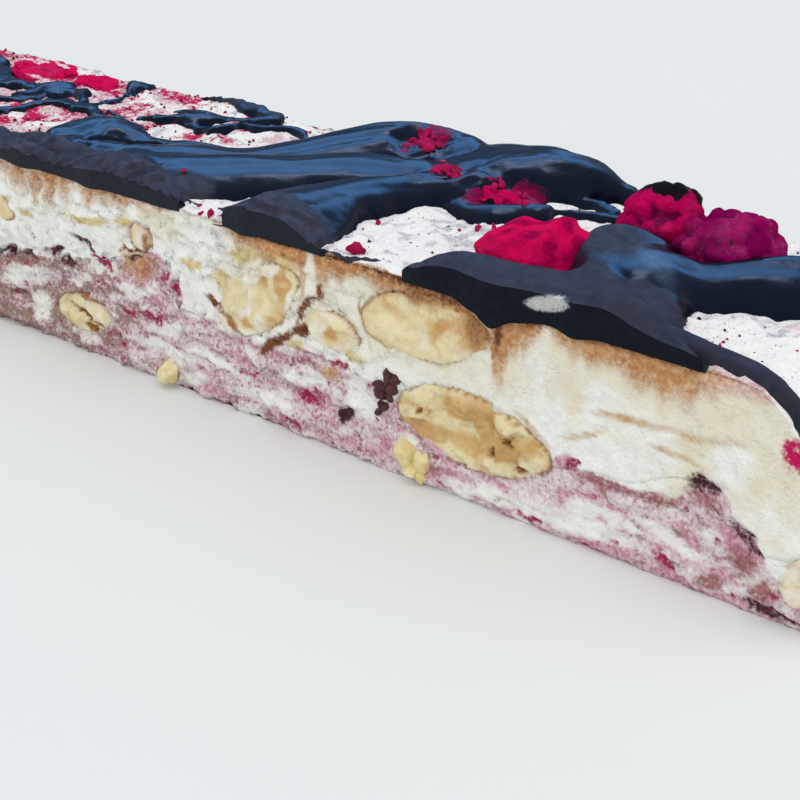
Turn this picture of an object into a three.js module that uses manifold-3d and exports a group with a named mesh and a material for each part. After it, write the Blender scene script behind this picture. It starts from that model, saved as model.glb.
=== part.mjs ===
// A hand-cut bar of layered nougat. Raspberry nougat lies below and cream nougat above, whole almonds
// show where the knife went through them, and dark chocolate is piped over the top between pieces of
// freeze-dried raspberry. Millimetres, +Z up: x runs along the bar, y across it, and the origin is under
// the middle of the base.
import * as THREE from 'three';
import Module from 'manifold-3d';
import { mergeVertices } from 'three/addons/utils/BufferGeometryUtils.js';

const wasm = await Module();
wasm.setup();

// Driving dimensions.
const LENGTH = 150;
const WIDTH = 30;
const HEIGHT = 20; // of the nougat, without what lies on it
const GAP = 0.3; // clearance between neighbouring pieces
const END_LEAN = 6.5; // how far an end leans inwards at the top
const END_ROUND = 3.2; // radius of the top corner of an end
const NEAR = -WIDTH / 2;
const FAR = WIDTH / 2;

const MERGE_WITHIN = 1e-5; // vertices this close are one

// How finely an end's outline and the meeting of the two layers are divided.
const END_STEPS = 10;
const MEETING_STEPS = { along: 52, across: 5 };
const SURFACE_HALVINGS = 24; // in the search for the surface's height over an end

// The level of the raspberry nougat along the near face, as [x, z], and how it changes across the bar.
const BERRY_LEVEL = [
  [-75, 8.5], [-48, 9.2], [-25, 8.8], [-13, 10.8], [-1, 13.6], [5, 8.8], [12, 9.4], [24, 9.2],
  [38, 7.2], [46, 6.4], [56, 7.8], [63, 10], [69, 5.8], [75, 6],
];
const LEVEL_DRIFT = 0.8; // the level's pattern moves this far along x for each millimetre of y
const LEVEL_SWELL = 0.7; // and rises and falls by this much towards the far face
const SWELL_LENGTH = 9; // along x, for one radian of that swell

// Almonds that the knife cut, by face: middle along the face, middle height, half length, half height
// and tilt in degrees.
const ALMONDS_NEAR = [
  [40.3, 7.2, 9.1, 4.0, -2],
  [34.6, 15.7, 7.8, 3.5, 8],
  [14.3, 13.2, 7.0, 3.5, 35],
  [23.8, 12.5, 3.8, 2.3, -5],
  [-12.0, 4.7, 4.6, 2.4, 4],
  [-26.5, 14.0, 4.6, 2.0, -10],
  [72.4, 4.4, 2.8, 2.1, 70],
  [-40.0, 5.6, 8.0, 3.5, 5],
  [-55.0, 14.0, 7.5, 3.4, -12],
  [-66.0, 5.0, 4.6, 2.5, 20],
];
const ALMONDS_FAR = [
  [-60.0, 5.4, 6.5, 3.0, -8],
  [-42.0, 13.6, 8.4, 3.6, 10],
  [-17.0, 5.5, 7.5, 3.4, -6],
  [4.0, 14.2, 8.0, 3.5, -12],
  [29.0, 5.8, 8.6, 3.8, 4],
  [50.0, 13.8, 7.0, 3.4, 15],
];
const ALMONDS_END = [
  { end: -1, y: -4, z: 6.0, tilt: 12 },
  { end: 1, y: 3, z: 9.5, tilt: -15 },
];
const END_ALMOND = { halfLength: 6.5, halfHeight: 3.2 };
const ALMOND_HALF_THICKNESS = 4.6; // into the bar
const ALMOND_DEPTH = 1.2; // how far the almond's middle lies behind the cut
const ALMOND_POINT = 0.3; // how much narrower the pointed end is
const ALMOND_SIDES = [11, 7]; // round it and along it
const SMALL_NUT = { x: -2, z: 15.6, radius: 1.7, sides: [10, 7] };

// Freeze-dried raspberries: middle, half sizes and how finely each is divided.
const RASPBERRIES = {
  raspberry_tall: { at: [46.6, 4.8, 22.7], half: [4.1, 4.2, 3.7], detail: 3 },
  raspberry_wide: { at: [54.2, 3.6, 22.1], half: [5.2, 4.3, 3.6], detail: 3 },
  raspberry_middle: { at: [40.2, -6.4, 21.6], half: [5.6, 3.6, 3.0], detail: 3 },
  raspberry_left: { at: [-46.0, 9.4, 20.6], half: [5.2, 4.0, 1.8], detail: 3 },
  raspberry_flake: { at: [-36.4, 9.6, 20.6], half: [3.6, 2.6, 1.5], detail: 2 },
  raspberry_tail: { at: [-64.0, -3.4, 20.8], half: [4.2, 3.4, 2.2], detail: 2 },
  raspberry_end: { at: [71.2, -13.2, 14.4], half: [1.8, 1.7, 1.9], detail: 2 },
  raspberry_bit_left: { at: [17.4, 9.4, 21.2], half: [2.4, 2.2, 1.9], detail: 2 },
  raspberry_bit_middle: { at: [22.2, 5.4, 21.2], half: [1.9, 2.4, 1.9], detail: 2 },
  raspberry_bit_right: { at: [28.6, 4.4, 21.2], half: [2.8, 2.2, 2.0], detail: 2 },
};
const DRUPELETS = 26; // beads on a raspberry
const DRUPELET_RELIEF = 0.16; // how far they stand out, as a share of the berry's size
const DRUPELET_SPREAD = 1.1; // a bead's reach, as a share of the reach that covers the ball evenly

// Piped chocolate: each ribbon runs through a few stations of [x, y, half width, height].
const BROAD_RIBBONS = {
  nearLeft: [
    [-38, -14, 1.6, 1.1], [-26, -14, 3.0, 1.6], [-14, -13.5, 3.5, 2.1], [-4, -14, 3.0, 1.7],
    [3, -15, 1.6, 1.1],
  ],
  backSweep: [
    [-20, -10.5, 3.0, 2.0], [-7, -6.5, 4.6, 2.8], [1, 0.5, 4.2, 2.7], [8, 8.5, 4.4, 3.6], [14, 12, 3.2, 3.9],
    [20, 13, 2.2, 2.8],
  ],
  middleSweep: [
    [-8, -14, 3.5, 1.9], [-1, -10.5, 4.2, 2.9], [5, -5, 4.2, 3.4], [13, 1.2, 3.8, 3.5], [18.5, 4, 2.8, 2.8],
  ],
  nearMiddle: [
    [15.2, -20, 5.8, 2.2], [16.2, -10, 5.2, 3.2], [19, -4.5, 3.6, 3.3], [24, 1, 3.0, 2.7], [28, 7, 4.0, 3.6],
  ],
  backHump: [
    [16.5, 12.8, 2.4, 2.6], [22, 11.2, 4.2, 4.2], [28.5, 10, 4.8, 4.8], [34, 10, 4.0, 3.9],
    [39.5, 9.2, 1.8, 1.6],
  ],
  nearRight: [
    [31, -15.5, 1.8, 1.2], [36, -14.5, 3.2, 2.2], [44, -14, 3.6, 2.6], [52, -13.5, 3.8, 2.8],
    [58, -14, 2.6, 1.8],
  ],
  rightHump: [[51, -13, 5.5, 2.6], [50, -9, 5.0, 3.5], [48.5, -5, 4.2, 4.2], [47, -2, 3.0, 3.6]],
  rightTail: [
    [50, -8, 4.0, 3.2], [56, -3.8, 3.3, 3.2], [63, 1, 3.3, 3.4], [69, 4, 3.0, 2.8], [73, 5, 2.4, 2.0],
  ],
};
const THIN_STRANDS = {
  overCorner: [
    [55, -13, 1.7, 1.7], [61, -13.6, 1.1, 1.3], [66, -14, 1.1, 1.3], [69.5, -14.3, 1.1, 1.2],
    [71.6, -14.4, 1.0, 1.0],
  ],
  roundBerry: [
    [27, 1.2, 1.1, 1.3], [31.5, 1.8, 1.0, 1.2], [36, 4.5, 1.0, 1.2], [40, 4.2, 1.0, 1.3], [43, 0.6, 1.1, 1.6],
    [46, -3, 1.4, 2.2],
  ],
  leftLoop: [
    [-20.8, -12, 1.2, 1.2], [-23, -5.5, 2.2, 2.0], [-19, -0.5, 2.2, 1.8], [-8, 2, 1.2, 1.2], [1, 2, 1.0, 1.0],
  ],
  leftArch: [[-34, -14, 1.5, 1.2], [-33.4, -2.2, 1.4, 1.4], [-29, 3.5, 1.4, 1.4], [-22, -1, 1.2, 1.2]],
  leftCurl: [[-32, 2.5, 1.2, 1.2], [-36, 5, 1.8, 1.6], [-40, 4, 2.1, 1.9], [-37, 0.5, 1.2, 1.2]],
  crossing: [[-30.5, 2.5, 1.1, 1.2], [-30.6, 9, 1.2, 1.2], [-28.5, 13.3, 1.8, 1.8]],
  backLine: [[-31, 8.6, 1.0, 1.0], [-24, 8.5, 1.3, 1.3], [-17, 9.5, 1.2, 1.2], [-9, 13.6, 1.5, 1.3]],
  backBranch: [[-26, 2.4, 1.0, 1.0], [-20.8, 4.3, 1.2, 1.2], [-16, 6.2, 1.8, 1.6], [-13.5, 10.5, 1.4, 1.4]],
  backEdge: [[-21.5, 14.4, 1.2, 1.0], [-15.5, 14.2, 1.7, 1.3], [-9.5, 13.2, 1.2, 1.0]],
  backWave: [
    [-17, 6, 1.0, 1.0], [-12, 4.8, 1.1, 1.1], [-9.5, 8.4, 1.2, 1.2], [-3, 10.8, 1.1, 1.1], [4, 6.5, 1.0, 1.0],
  ],
  behindBerry: [[-56, 9.8, 1.8, 1.6], [-50, 6.4, 1.8, 1.6], [-44.5, 3, 1.6, 1.4], [-39, 3, 1.4, 1.3]],
  endArch: [[-72, -8, 1.6, 1.4], [-67, 3, 2.4, 2.0], [-61, 9, 2.0, 1.8], [-54, 8.6, 1.6, 1.5]],
  endDiagonal: [[-71, -20, 3.4, 1.8], [-60, -9, 2.6, 2.0], [-52, -3, 2.0, 1.6], [-43, 3, 1.6, 1.4]],
  leftDiagonal: [[-52, -20, 3.0, 1.8], [-46, -9, 2.4, 2.0], [-41, -4, 1.8, 1.6], [-36.5, 1, 1.4, 1.3]],
  nearLink: [[-60, -9, 1.2, 1.2], [-48, -11, 1.3, 1.2], [-36, -13.8, 1.6, 1.2]],
};
const RIBBON_STEPS = { broad: [12, 6], thin: [10, 4] }; // along and across
const RIBBON_ROUND = 0.12; // share of a ribbon's length over which each end narrows
const RIBBON_TIP = 0.3; // width left at the very end
const RIBBON_ROOT = 2; // how far a ribbon reaches down before the nougat is cut from it
const DOME_POWER = 2.6; // 2 gives a half ellipse, more a flatter top

const FINISH = {
  berry: { color: 0xd9b7c2, roughness: 0.8 },
  cream: { color: 0xf0ead9, roughness: 0.75 },
  almond: { color: 0xd8bd82, roughness: 0.6 },
  nut: { color: 0xc9b48c, roughness: 0.6 },
  raspberry: { color: 0xb40848, roughness: 0.7 },
  chocolate: { color: 0x1b1b24, roughness: 0.3 },
};

const bar = new THREE.Group();

// Turns a geometry into a solid that can be joined and cut.
function solidOf(geometry) {
  geometry.deleteAttribute('normal');
  geometry.deleteAttribute('uv');
  const merged = mergeVertices(geometry, MERGE_WITHIN);
  return new wasm.Manifold(new wasm.Mesh({
    numProp: 3,
    vertProperties: new Float32Array(merged.attributes.position.array),
    triVerts: new Uint32Array(merged.index.array),
  }));
}

// Keeps the largest body of a cut solid and drops loose scraps.
function largestBody(solid) {
  return solid.decompose().reduce((best, body) => (body.volume() > best.volume() ? body : best));
}

// Adds a solid to the bar as a named piece with its own material.
function addPiece(name, solid, finish) {
  const mesh = largestBody(solid).getMesh();
  const geometry = new THREE.BufferGeometry();
  geometry.setAttribute('position', new THREE.BufferAttribute(mesh.vertProperties, 3));
  geometry.setIndex(new THREE.BufferAttribute(mesh.triVerts, 1));
  geometry.computeVertexNormals();
  const piece = new THREE.Mesh(geometry, new THREE.MeshStandardMaterial({ ...finish, metalness: 0 }));
  piece.name = name;
  bar.add(piece);
}

// Moves every vertex of a geometry to where the rule puts it.
function reshape(geometry, rule) {
  const point = geometry.attributes.position;
  for (let i = 0; i < point.count; i += 1) {
    point.setXYZ(i, ...rule(point.getX(i), point.getY(i), point.getZ(i)));
  }
  return geometry;
}

// How far the bar reaches along x at a height: the ends lean in and their top corner is round.
function endReach(z) {
  const intoRound = Math.max(0, z - (HEIGHT - END_ROUND));
  const rounded = END_ROUND - Math.sqrt(Math.max(0, END_ROUND ** 2 - intoRound ** 2));
  return LENGTH / 2 - END_LEAN * (z / HEIGHT) ** 2 - rounded;
}

// The height of the bar's surface at x: level on top, falling over the round of an end.
function surfaceAt(x) {
  if (Math.abs(x) <= endReach(HEIGHT)) return HEIGHT;
  let low = 0;
  let high = HEIGHT;
  for (let halving = 0; halving < SURFACE_HALVINGS; halving += 1) {
    const middle = (low + high) / 2;
    if (endReach(middle) > Math.abs(x)) low = middle;
    else high = middle;
  }
  return low;
}

// The raspberry nougat's level: eased between the stations, drifting and swelling across the bar.
function berryLevel(x, y) {
  const inward = y - NEAR;
  const place = THREE.MathUtils.clamp(x - LEVEL_DRIFT * inward, -LENGTH / 2, LENGTH / 2);
  const next = Math.max(1, BERRY_LEVEL.findIndex(([station]) => station >= place));
  const [x0, z0] = BERRY_LEVEL[next - 1];
  const [x1, z1] = BERRY_LEVEL[next];
  const eased = THREE.MathUtils.smoothstep(place, x0, x1);
  return z0 + (z1 - z0) * eased + LEVEL_SWELL * Math.sin(x / SWELL_LENGTH) * (inward / WIDTH);
}

// The whole bar as one block: the outline of its side, drawn up one end and down the other.
function wholeBlock() {
  const quarterTurn = Math.PI / 2;
  const levelAt = (_, i) => HEIGHT * Math.sin((i / END_STEPS) * quarterTurn);
  const heights = Array.from({ length: END_STEPS + 1 }, levelAt);
  const rightEnd = heights.map((z) => new THREE.Vector2(endReach(z), z));
  const leftEnd = heights.map((z) => new THREE.Vector2(-endReach(z), z)).reverse();
  const outline = new THREE.Shape([...rightEnd, ...leftEnd]);
  const prism = new THREE.ExtrudeGeometry(outline, { depth: WIDTH, bevelEnabled: false });
  return solidOf(prism.rotateX(quarterTurn).translate(0, FAR, 0));
}

// Everything above the meeting of the two layers, reaching past the bar on all sides.
function aboveMeeting() {
  const { along, across } = MEETING_STEPS;
  const sheet = new THREE.BoxGeometry(LENGTH + HEIGHT, WIDTH + HEIGHT, 1, along, across, 1);
  return solidOf(reshape(sheet, (x, y, up) => [x, y, up > 0 ? 2 * HEIGHT : berryLevel(x, y)]));
}

// An almond lying along x about its own middle, with a blunt end and a pointed one.
function almond(halfLength, halfHeight, tilt, grow) {
  const ball = new THREE.SphereGeometry(1, ...ALMOND_SIDES).rotateZ(Math.PI / 2);
  reshape(ball, (x, y, z) => {
    const narrowed = 1 - ALMOND_POINT * Math.max(0, x) ** 2;
    return [
      x * (halfLength + grow),
      y * (ALMOND_HALF_THICKNESS + grow) * narrowed,
      z * (halfHeight + grow) * narrowed,
    ];
  });
  return ball.rotateY(-THREE.MathUtils.degToRad(tilt));
}

// Every nut as a function that makes it, grown by a clearance.
function nutMakers() {
  const makers = [];
  const onSide = (side) => ([x, z, halfLength, halfHeight, tilt]) => {
    const y = side * (FAR - ALMOND_DEPTH);
    makers.push((grow) => almond(halfLength, halfHeight, tilt, grow).translate(x, y, z));
  };
  ALMONDS_NEAR.forEach(onSide(-1));
  ALMONDS_FAR.forEach(onSide(1));
  ALMONDS_END.forEach(({ end, y, z, tilt }) => {
    const x = end * (endReach(z) - ALMOND_DEPTH);
    const { halfLength, halfHeight } = END_ALMOND;
    const acrossBar = (grow) => almond(halfLength, halfHeight, tilt, grow).rotateZ(Math.PI / 2);
    makers.push((grow) => acrossBar(grow).translate(x, y, z));
  });
  return makers;
}

// The directions of a raspberry's beads, spread evenly over a ball.
function drupeletDirections() {
  const goldenAngle = Math.PI * (3 - Math.sqrt(5));
  return Array.from({ length: DRUPELETS }, (_, i) => {
    const height = 1 - (2 * (i + 0.5)) / DRUPELETS;
    const ring = Math.sqrt(1 - height ** 2);
    return new THREE.Vector3(ring * Math.cos(goldenAngle * i), ring * Math.sin(goldenAngle * i), height);
  });
}

// A raspberry: a ball that bulges towards each bead and pinches in between them.
function raspberry({ at, half, detail }, beads, grow) {
  const ball = new THREE.IcosahedronGeometry(1, detail);
  const beadReach = Math.acos(1 - 2 / DRUPELETS) * DRUPELET_SPREAD;
  return reshape(ball, (x, y, z) => {
    const direction = new THREE.Vector3(x, y, z).normalize();
    const nearest = Math.min(...beads.map((bead) => bead.angleTo(direction)));
    const bulge = 1 - DRUPELET_RELIEF * Math.min(1, nearest / beadReach) ** 2;
    return direction.toArray().map((part, axis) => at[axis] + part * (half[axis] * bulge + grow));
  });
}

// A ribbon of chocolate: domed across, following its stations, rooted below the nougat's surface.
function ribbon(stations, [stepsAlong, stepsAcross]) {
  const route = new THREE.CatmullRomCurve3(stations.map(([x, y]) => new THREE.Vector3(x, y, 0)));
  const section = new THREE.CatmullRomCurve3(stations.map(([, , w, h]) => new THREE.Vector3(w, h, 0)));
  const strip = new THREE.BoxGeometry(1, 2, 1, stepsAlong, stepsAcross, 1);
  return solidOf(reshape(strip, (along, across, up) => {
    const t = THREE.MathUtils.clamp(along + 0.5, 0, 1);
    const middle = route.getPoint(t);
    const heading = route.getTangent(t);
    const { x: halfWidth, y: height } = section.getPoint(t);
    const fromEnd = Math.min(1, Math.min(t, 1 - t) / RIBBON_ROUND);
    const narrowed = Math.max(RIBBON_TIP, Math.sqrt(1 - (1 - fromEnd) ** 2));
    const x = middle.x - heading.y * across * halfWidth * narrowed;
    const y = middle.y + heading.x * across * halfWidth * narrowed;
    const dome = Math.sqrt(Math.max(0, 1 - Math.abs(across) ** DOME_POWER));
    const rise = up > 0 ? dome * height * narrowed : -RIBBON_ROOT;
    return [x, y, surfaceAt(x) + rise];
  }));
}

// The bar with the gap added above and beyond its ends, which trims what lies on it.
const block = wholeBlock();
const trimBelow = [[0, 0, GAP], [GAP, 0, 0], [-GAP, 0, 0]]
  .map((shift) => block.translate(shift))
  .reduce((joined, next) => joined.add(next));
const knifeBox = solidOf(new THREE.BoxGeometry(LENGTH, WIDTH, 4 * HEIGHT));

const nuts = nutMakers();
const smallNut = (grow) => new THREE.SphereGeometry(SMALL_NUT.radius + grow, ...SMALL_NUT.sides)
  .translate(SMALL_NUT.x, NEAR + GAP, SMALL_NUT.z);
const pockets = [...nuts, smallNut].map((make) => solidOf(make(GAP)));

const upperPart = aboveMeeting();
let berryNougat = block.subtract(upperPart);
let creamNougat = block.intersect(upperPart.translate([0, 0, GAP]));
pockets.forEach((pocket) => {
  berryNougat = berryNougat.subtract(pocket);
  creamNougat = creamNougat.subtract(pocket);
});
addPiece('berry_nougat', berryNougat, FINISH.berry);
addPiece('cream_nougat', creamNougat, FINISH.cream);

nuts.forEach((make, i) => {
  const name = `almond_${String(i + 1).padStart(2, '0')}`;
  addPiece(name, solidOf(make(0)).intersect(block), FINISH.almond);
});
addPiece('small_nut', solidOf(smallNut(0)).intersect(block), FINISH.nut);

const beads = drupeletDirections();
let chocolate = [
  ...Object.values(BROAD_RIBBONS).map((stations) => ribbon(stations, RIBBON_STEPS.broad)),
  ...Object.values(THIN_STRANDS).map((stations) => ribbon(stations, RIBBON_STEPS.thin)),
].reduce((joined, next) => joined.add(next));
chocolate = chocolate.intersect(knifeBox).subtract(trimBelow);
let around = trimBelow;
Object.entries(RASPBERRIES).forEach(([name, berry]) => {
  const hollow = solidOf(raspberry(berry, beads, GAP));
  addPiece(name, solidOf(raspberry(berry, beads, 0)).intersect(knifeBox).subtract(around), FINISH.raspberry);
  chocolate = chocolate.subtract(hollow);
  around = around.add(hollow);
});
addPiece('chocolate', chocolate, FINISH.chocolate);

export default bar;
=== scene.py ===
# %% [markdown]
# # A hand-cut bar of layered nougat
# Raspberry nougat lies under cream nougat, almonds show where the knife went through them, and dark
# chocolate is piped over the top between pieces of freeze-dried raspberry. The solids come from the CAD
# frame; here each one is replaced by a finer piece of the same form with a material that shows what it is.

from math import cos, pi, radians, sin

import bmesh
import bpy
import numpy as np
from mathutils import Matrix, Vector
from mathutils.bvhtree import BVHTree
from mathutils.kdtree import KDTree


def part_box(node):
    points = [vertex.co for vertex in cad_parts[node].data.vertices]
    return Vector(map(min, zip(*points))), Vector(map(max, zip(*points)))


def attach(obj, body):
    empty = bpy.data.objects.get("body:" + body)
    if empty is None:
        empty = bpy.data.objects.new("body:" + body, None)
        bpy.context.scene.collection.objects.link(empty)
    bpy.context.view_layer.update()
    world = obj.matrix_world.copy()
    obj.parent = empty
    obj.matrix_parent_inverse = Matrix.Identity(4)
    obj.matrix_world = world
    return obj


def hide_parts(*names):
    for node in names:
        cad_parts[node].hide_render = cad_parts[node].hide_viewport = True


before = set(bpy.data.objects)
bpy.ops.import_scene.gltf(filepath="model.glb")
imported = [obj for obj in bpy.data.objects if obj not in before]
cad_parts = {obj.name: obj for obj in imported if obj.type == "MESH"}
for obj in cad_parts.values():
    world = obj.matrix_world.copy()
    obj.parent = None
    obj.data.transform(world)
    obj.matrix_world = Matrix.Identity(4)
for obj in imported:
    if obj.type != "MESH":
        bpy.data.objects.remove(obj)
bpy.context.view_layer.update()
MM = 0.001

# %% [markdown]
# Three small tools serve every piece: one turns a listed colour into the numbers that a shader takes, one
# adds a shader node, and one makes smooth noise, which stands for the unevenness of food.

# %% Colours, shader nodes and noise
SEED = 27
LATTICE_SIDE = 48
LATTICE = np.random.default_rng(SEED).random((LATTICE_SIDE,) * 3)


def linear(colour):
    """An sRGB hex colour as linear RGBA."""
    parts = [int(colour[i:i + 2], 16) / 255 for i in (1, 3, 5)]
    return [c / 12.92 if c <= 0.04045 else ((c + 0.055) / 1.055) ** 2.4 for c in parts] + [1.0]


def add(tree, kind, inputs, out=0, **settings):
    """Adds a shader node, sets its properties, fills its inputs with values or links, returns one output."""
    node = tree.nodes.new("ShaderNode" + kind)
    for name, value in settings.items():
        setattr(node, name, value)
    for name, value in inputs.items():
        if isinstance(value, bpy.types.NodeSocket):
            tree.links.new(value, node.inputs[name])
        else:
            node.inputs[name].default_value = value
    return node.outputs[out] if node.outputs else node


def lumps(points, size, octaves=1, shift=0.0):
    """Smooth noise from 0 to 1 at points in mm; size is a lump's size, and each octave halves it."""
    total, weight = 0.0, 0.0
    for octave in range(octaves):
        place = points / (np.asarray(size, float) / 2 ** octave) + shift + 7.3 * octave
        cell = np.floor(place).astype(int)
        part = place - cell
        fx, fy, fz = (part * part * (3 - 2 * part)).T
        (x0, y0, z0), (x1, y1, z1) = (cell % LATTICE_SIDE).T, ((cell + 1) % LATTICE_SIDE).T
        low = (1 - fx) * ((1 - fy) * LATTICE[x0, y0, z0] + fy * LATTICE[x0, y1, z0])
        low += fx * ((1 - fy) * LATTICE[x1, y0, z0] + fy * LATTICE[x1, y1, z0])
        high = (1 - fx) * ((1 - fy) * LATTICE[x0, y0, z1] + fy * LATTICE[x0, y1, z1])
        high += fx * ((1 - fy) * LATTICE[x1, y0, z1] + fy * LATTICE[x1, y1, z1])
        value = (1 - fz) * low + fz * high
        total, weight = total + value / 2 ** octave, weight + 1 / 2 ** octave
    return total / weight


print("noise lattice:", LATTICE.shape)

# %% [markdown]
# The noise is used in three ways: as ups and downs around zero, as patches with soft edges, and as thin lines
# where it crosses its middle.

# %% Steps, patches and bells
def ease(low, high, value):
    """A smooth step from 0 at low to 1 at high; high may be the smaller one."""
    part = np.clip((value - low) / (high - low), 0, 1)
    return part * part * (3 - 2 * part)


def bell(value, width):
    """1 where the value is 0, falling off over the width on both sides."""
    return np.exp(-(value / width) ** 2)


def waves(points, height, size, octaves=1, shift=0.0):
    """Noise around zero; height is in mm from the lowest to the highest."""
    return height * (lumps(points, size, octaves, shift) - 0.5)


def patches(points, size, octaves, shift, low, high):
    """Patches of noise: 0 where it is at low, 1 where it is at high."""
    return ease(low, high, lumps(points, size, octaves, shift))


print("a step eased at its quarter:", ease(0, 1, 0.25))

# %% [markdown]
# Every piece is read and written as a table of points in millimetres, and what the eye should tell apart on
# it is painted as named values on those points.

# %% Reading, writing and painting points
def read(piece, what="co"):
    """The points in mm, or their normals."""
    values = np.empty(3 * len(piece.data.vertices))
    piece.data.vertices.foreach_get(what, values)
    return values.reshape(-1, 3) / (MM if what == "co" else 1)


def write(piece, points):
    """Moves the points to places given in mm."""
    piece.data.vertices.foreach_set("co", (points * MM).ravel())
    piece.data.update()


def paint(piece, **values):
    """Stores each named value on the points."""
    for name, value in values.items():
        layer = piece.data.attributes.new(name, "FLOAT", "POINT")
        layer.data.foreach_set("value", np.broadcast_to(value, len(piece.data.vertices)).astype(np.float32))


def activate(piece):
    """Makes the piece the only selected one."""
    bpy.ops.object.select_all(action="DESELECT")
    piece.select_set(True)
    bpy.context.view_layer.objects.active = piece


def apply(piece, kind, **settings):
    """Adds a modifier with these settings and applies it."""
    activate(piece)
    modifier = piece.modifiers.new(kind, kind)
    for name, value in settings.items():
        setattr(modifier, name, value)
    bpy.ops.object.modifier_apply(modifier=modifier.name)


def finish(piece, slot, *nodes):
    """Smooth shading, a place under the root, and hiding the CAD nodes that the piece stands for; slot is not
    used.
    """
    activate(piece)
    bpy.ops.object.shade_smooth()
    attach(piece, "root")
    if nodes:
        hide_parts(*nodes)
    print(f"{piece.name}: {len(piece.data.vertices)} points")


# %% [markdown]
# All the materials here are built up like the food itself: a ground that varies between two colours, and over
# it coats that show where a painted value is strong. Fine noise breaks up the edge of each coat, because
# nothing in a crumbled sweet ends in a clean line.

# %% Materials in coats
# The sockets of a mix node go by number: its factor, two colours, the mixed colour, and two plain values.
FACTOR, FIRST, SECOND, MIXED, FIRST_VALUE, SECOND_VALUE = 0, 6, 7, 2, 2, 3
GRAIN = 0.4


def material(name, ground, coats, roughness, bumps, specular=0.3, gloss="#ffffff"):
    """ground: two colours and the mottling's size in mm. coats: value, two colours, mottling in mm,
    raggedness and softness of the edge, roughness. bumps: size and height in mm."""
    made = bpy.data.materials.new(name)
    made.use_nodes = True
    tree = made.node_tree
    tree.nodes.clear()
    place = add(tree, "TexCoord", {}, out="Object")

    def noise(size, detail=3.0):
        settings = {"Vector": place, "Scale": 1 / (size * MM), "Detail": detail, "Roughness": 0.6}
        return add(tree, "TexNoise", settings)

    def mottled(first, second, size):
        spread = add(tree, "MapRange", {"Value": noise(size), "From Min": 0.35, "From Max": 0.65})
        return add(tree, "Mix", {FACTOR: spread, FIRST: linear(first), SECOND: linear(second)},
                   out=MIXED, data_type="RGBA")

    grain = add(tree, "MapRange", {"Value": noise(GRAIN, 2.5), "From Min": 0.3, "From Max": 0.7,
                                   "To Min": -0.5, "To Max": 0.5})
    colour = mottled(*ground)
    rough, shine = roughness, specular
    for value, first, second, size, raggedness, softness, coat_roughness in coats:
        strength = add(tree, "Attribute", {}, out="Fac", attribute_name=value)
        breaking = add(tree, "Math", {0: grain, 1: raggedness, 2: 1.0}, operation="MULTIPLY_ADD")
        broken = add(tree, "Math", {0: strength, 1: breaking}, operation="MULTIPLY")
        edge = {"Value": broken, "From Min": 0.5 - softness, "From Max": 0.5 + softness}
        cover = add(tree, "MapRange", edge, interpolation_type="SMOOTHSTEP")
        colour = add(tree, "Mix", {FACTOR: cover, FIRST: colour, SECOND: mottled(first, second, size)},
                     out=MIXED, data_type="RGBA")
        rough = add(tree, "Mix", {FACTOR: cover, FIRST_VALUE: rough, SECOND_VALUE: coat_roughness})
        dulled = specular * (1 - coat_roughness)
        shine = add(tree, "Mix", {FACTOR: cover, FIRST_VALUE: shine, SECOND_VALUE: dulled})
    inputs = {"Base Color": colour, "Roughness": rough, "Specular IOR Level": shine,
              "Specular Tint": linear(gloss)}
    for size, height in bumps:
        bump = {"Height": noise(size), "Distance": height * MM, "Strength": 1.0}
        if "Normal" in inputs:
            bump["Normal"] = inputs["Normal"]
        inputs["Normal"] = add(tree, "Bump", bump)
    add(tree, "OutputMaterial", {"Surface": add(tree, "BsdfPrincipled", inputs)})
    print(f"{name}: a ground and {len(coats)} coats")
    return made


# %% [markdown]
# The picture is a plain studio one: a pale table without an edge. The camera looks along the bar from its
# right end, slightly from above.

# %% Camera and table
LENS, SENSOR = 72.0, 36.0
CAMERA_AT = Vector((114.86, -116.17, 72.19)) * MM
CAMERA_DIP, CAMERA_TURN = 0.45689, 0.68624
TABLE_SIDE = 6.0

bpy.ops.object.camera_add(location=CAMERA_AT, rotation=(pi / 2 - CAMERA_DIP, 0, CAMERA_TURN))
camera = bpy.context.object
camera.data.lens, camera.data.sensor_width = LENS, SENSOR
camera.data.clip_start = 0.01
scene = bpy.context.scene
scene.camera = camera
scene.view_settings.view_transform = "Standard"

bpy.ops.mesh.primitive_plane_add(size=TABLE_SIDE)
table = bpy.context.object
table.name = "table"
# White laminate, nearly even in colour, so that only the bar's soft shadow shows on it.
table.data.materials.append(
    material("white_table", ("#e8eced", "#e7ebec", 40), [], 0.6, [], specular=0.1))
print("camera at", [round(c, 4) for c in CAMERA_AT])

# %% [markdown]
# The room is white all round and dimmer behind the bar, and a very broad lamp overhead makes up for that. A
# blue window and a small lamp behind the bar are mirrored by the chocolate alone, so its gloss turns blue and
# the white powder does not.

# %% Light
BEHIND = Vector((-0.634, 0.773, 0.55)).normalized()
ROOM, DIMMER = (0.98, 0.97, 0.95, 1), (0.14, 0.20, 0.32, 1)
# For each: height in degrees, distance, width and height in metres, watts, colour.
MIRRORED = [(46, 1.36, 1.9, 0.6, 22.0, (0.19, 0.47, 0.9)), (66, 1.36, 0.5, 0.22, 4.5, (0.88, 0.94, 1.0))]
world = bpy.data.worlds.new("studio")
scene.world = world
world.use_nodes = True
sky = world.node_tree
sky.nodes.clear()
towards = add(sky, "TexCoord", {}, out="Generated")
facing = add(sky, "VectorMath", {0: towards, 1: BEHIND}, out="Value", operation="DOT_PRODUCT")
share = add(sky, "MapRange", {"Value": facing, "From Min": 0.5, "From Max": 0.85})
tint = add(sky, "Mix", {FACTOR: share, FIRST: ROOM, SECOND: DIMMER}, out=MIXED, data_type="RGBA")
add(sky, "OutputWorld", {"Surface": add(sky, "Background", {"Color": tint, "Strength": 1.0})})

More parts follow.
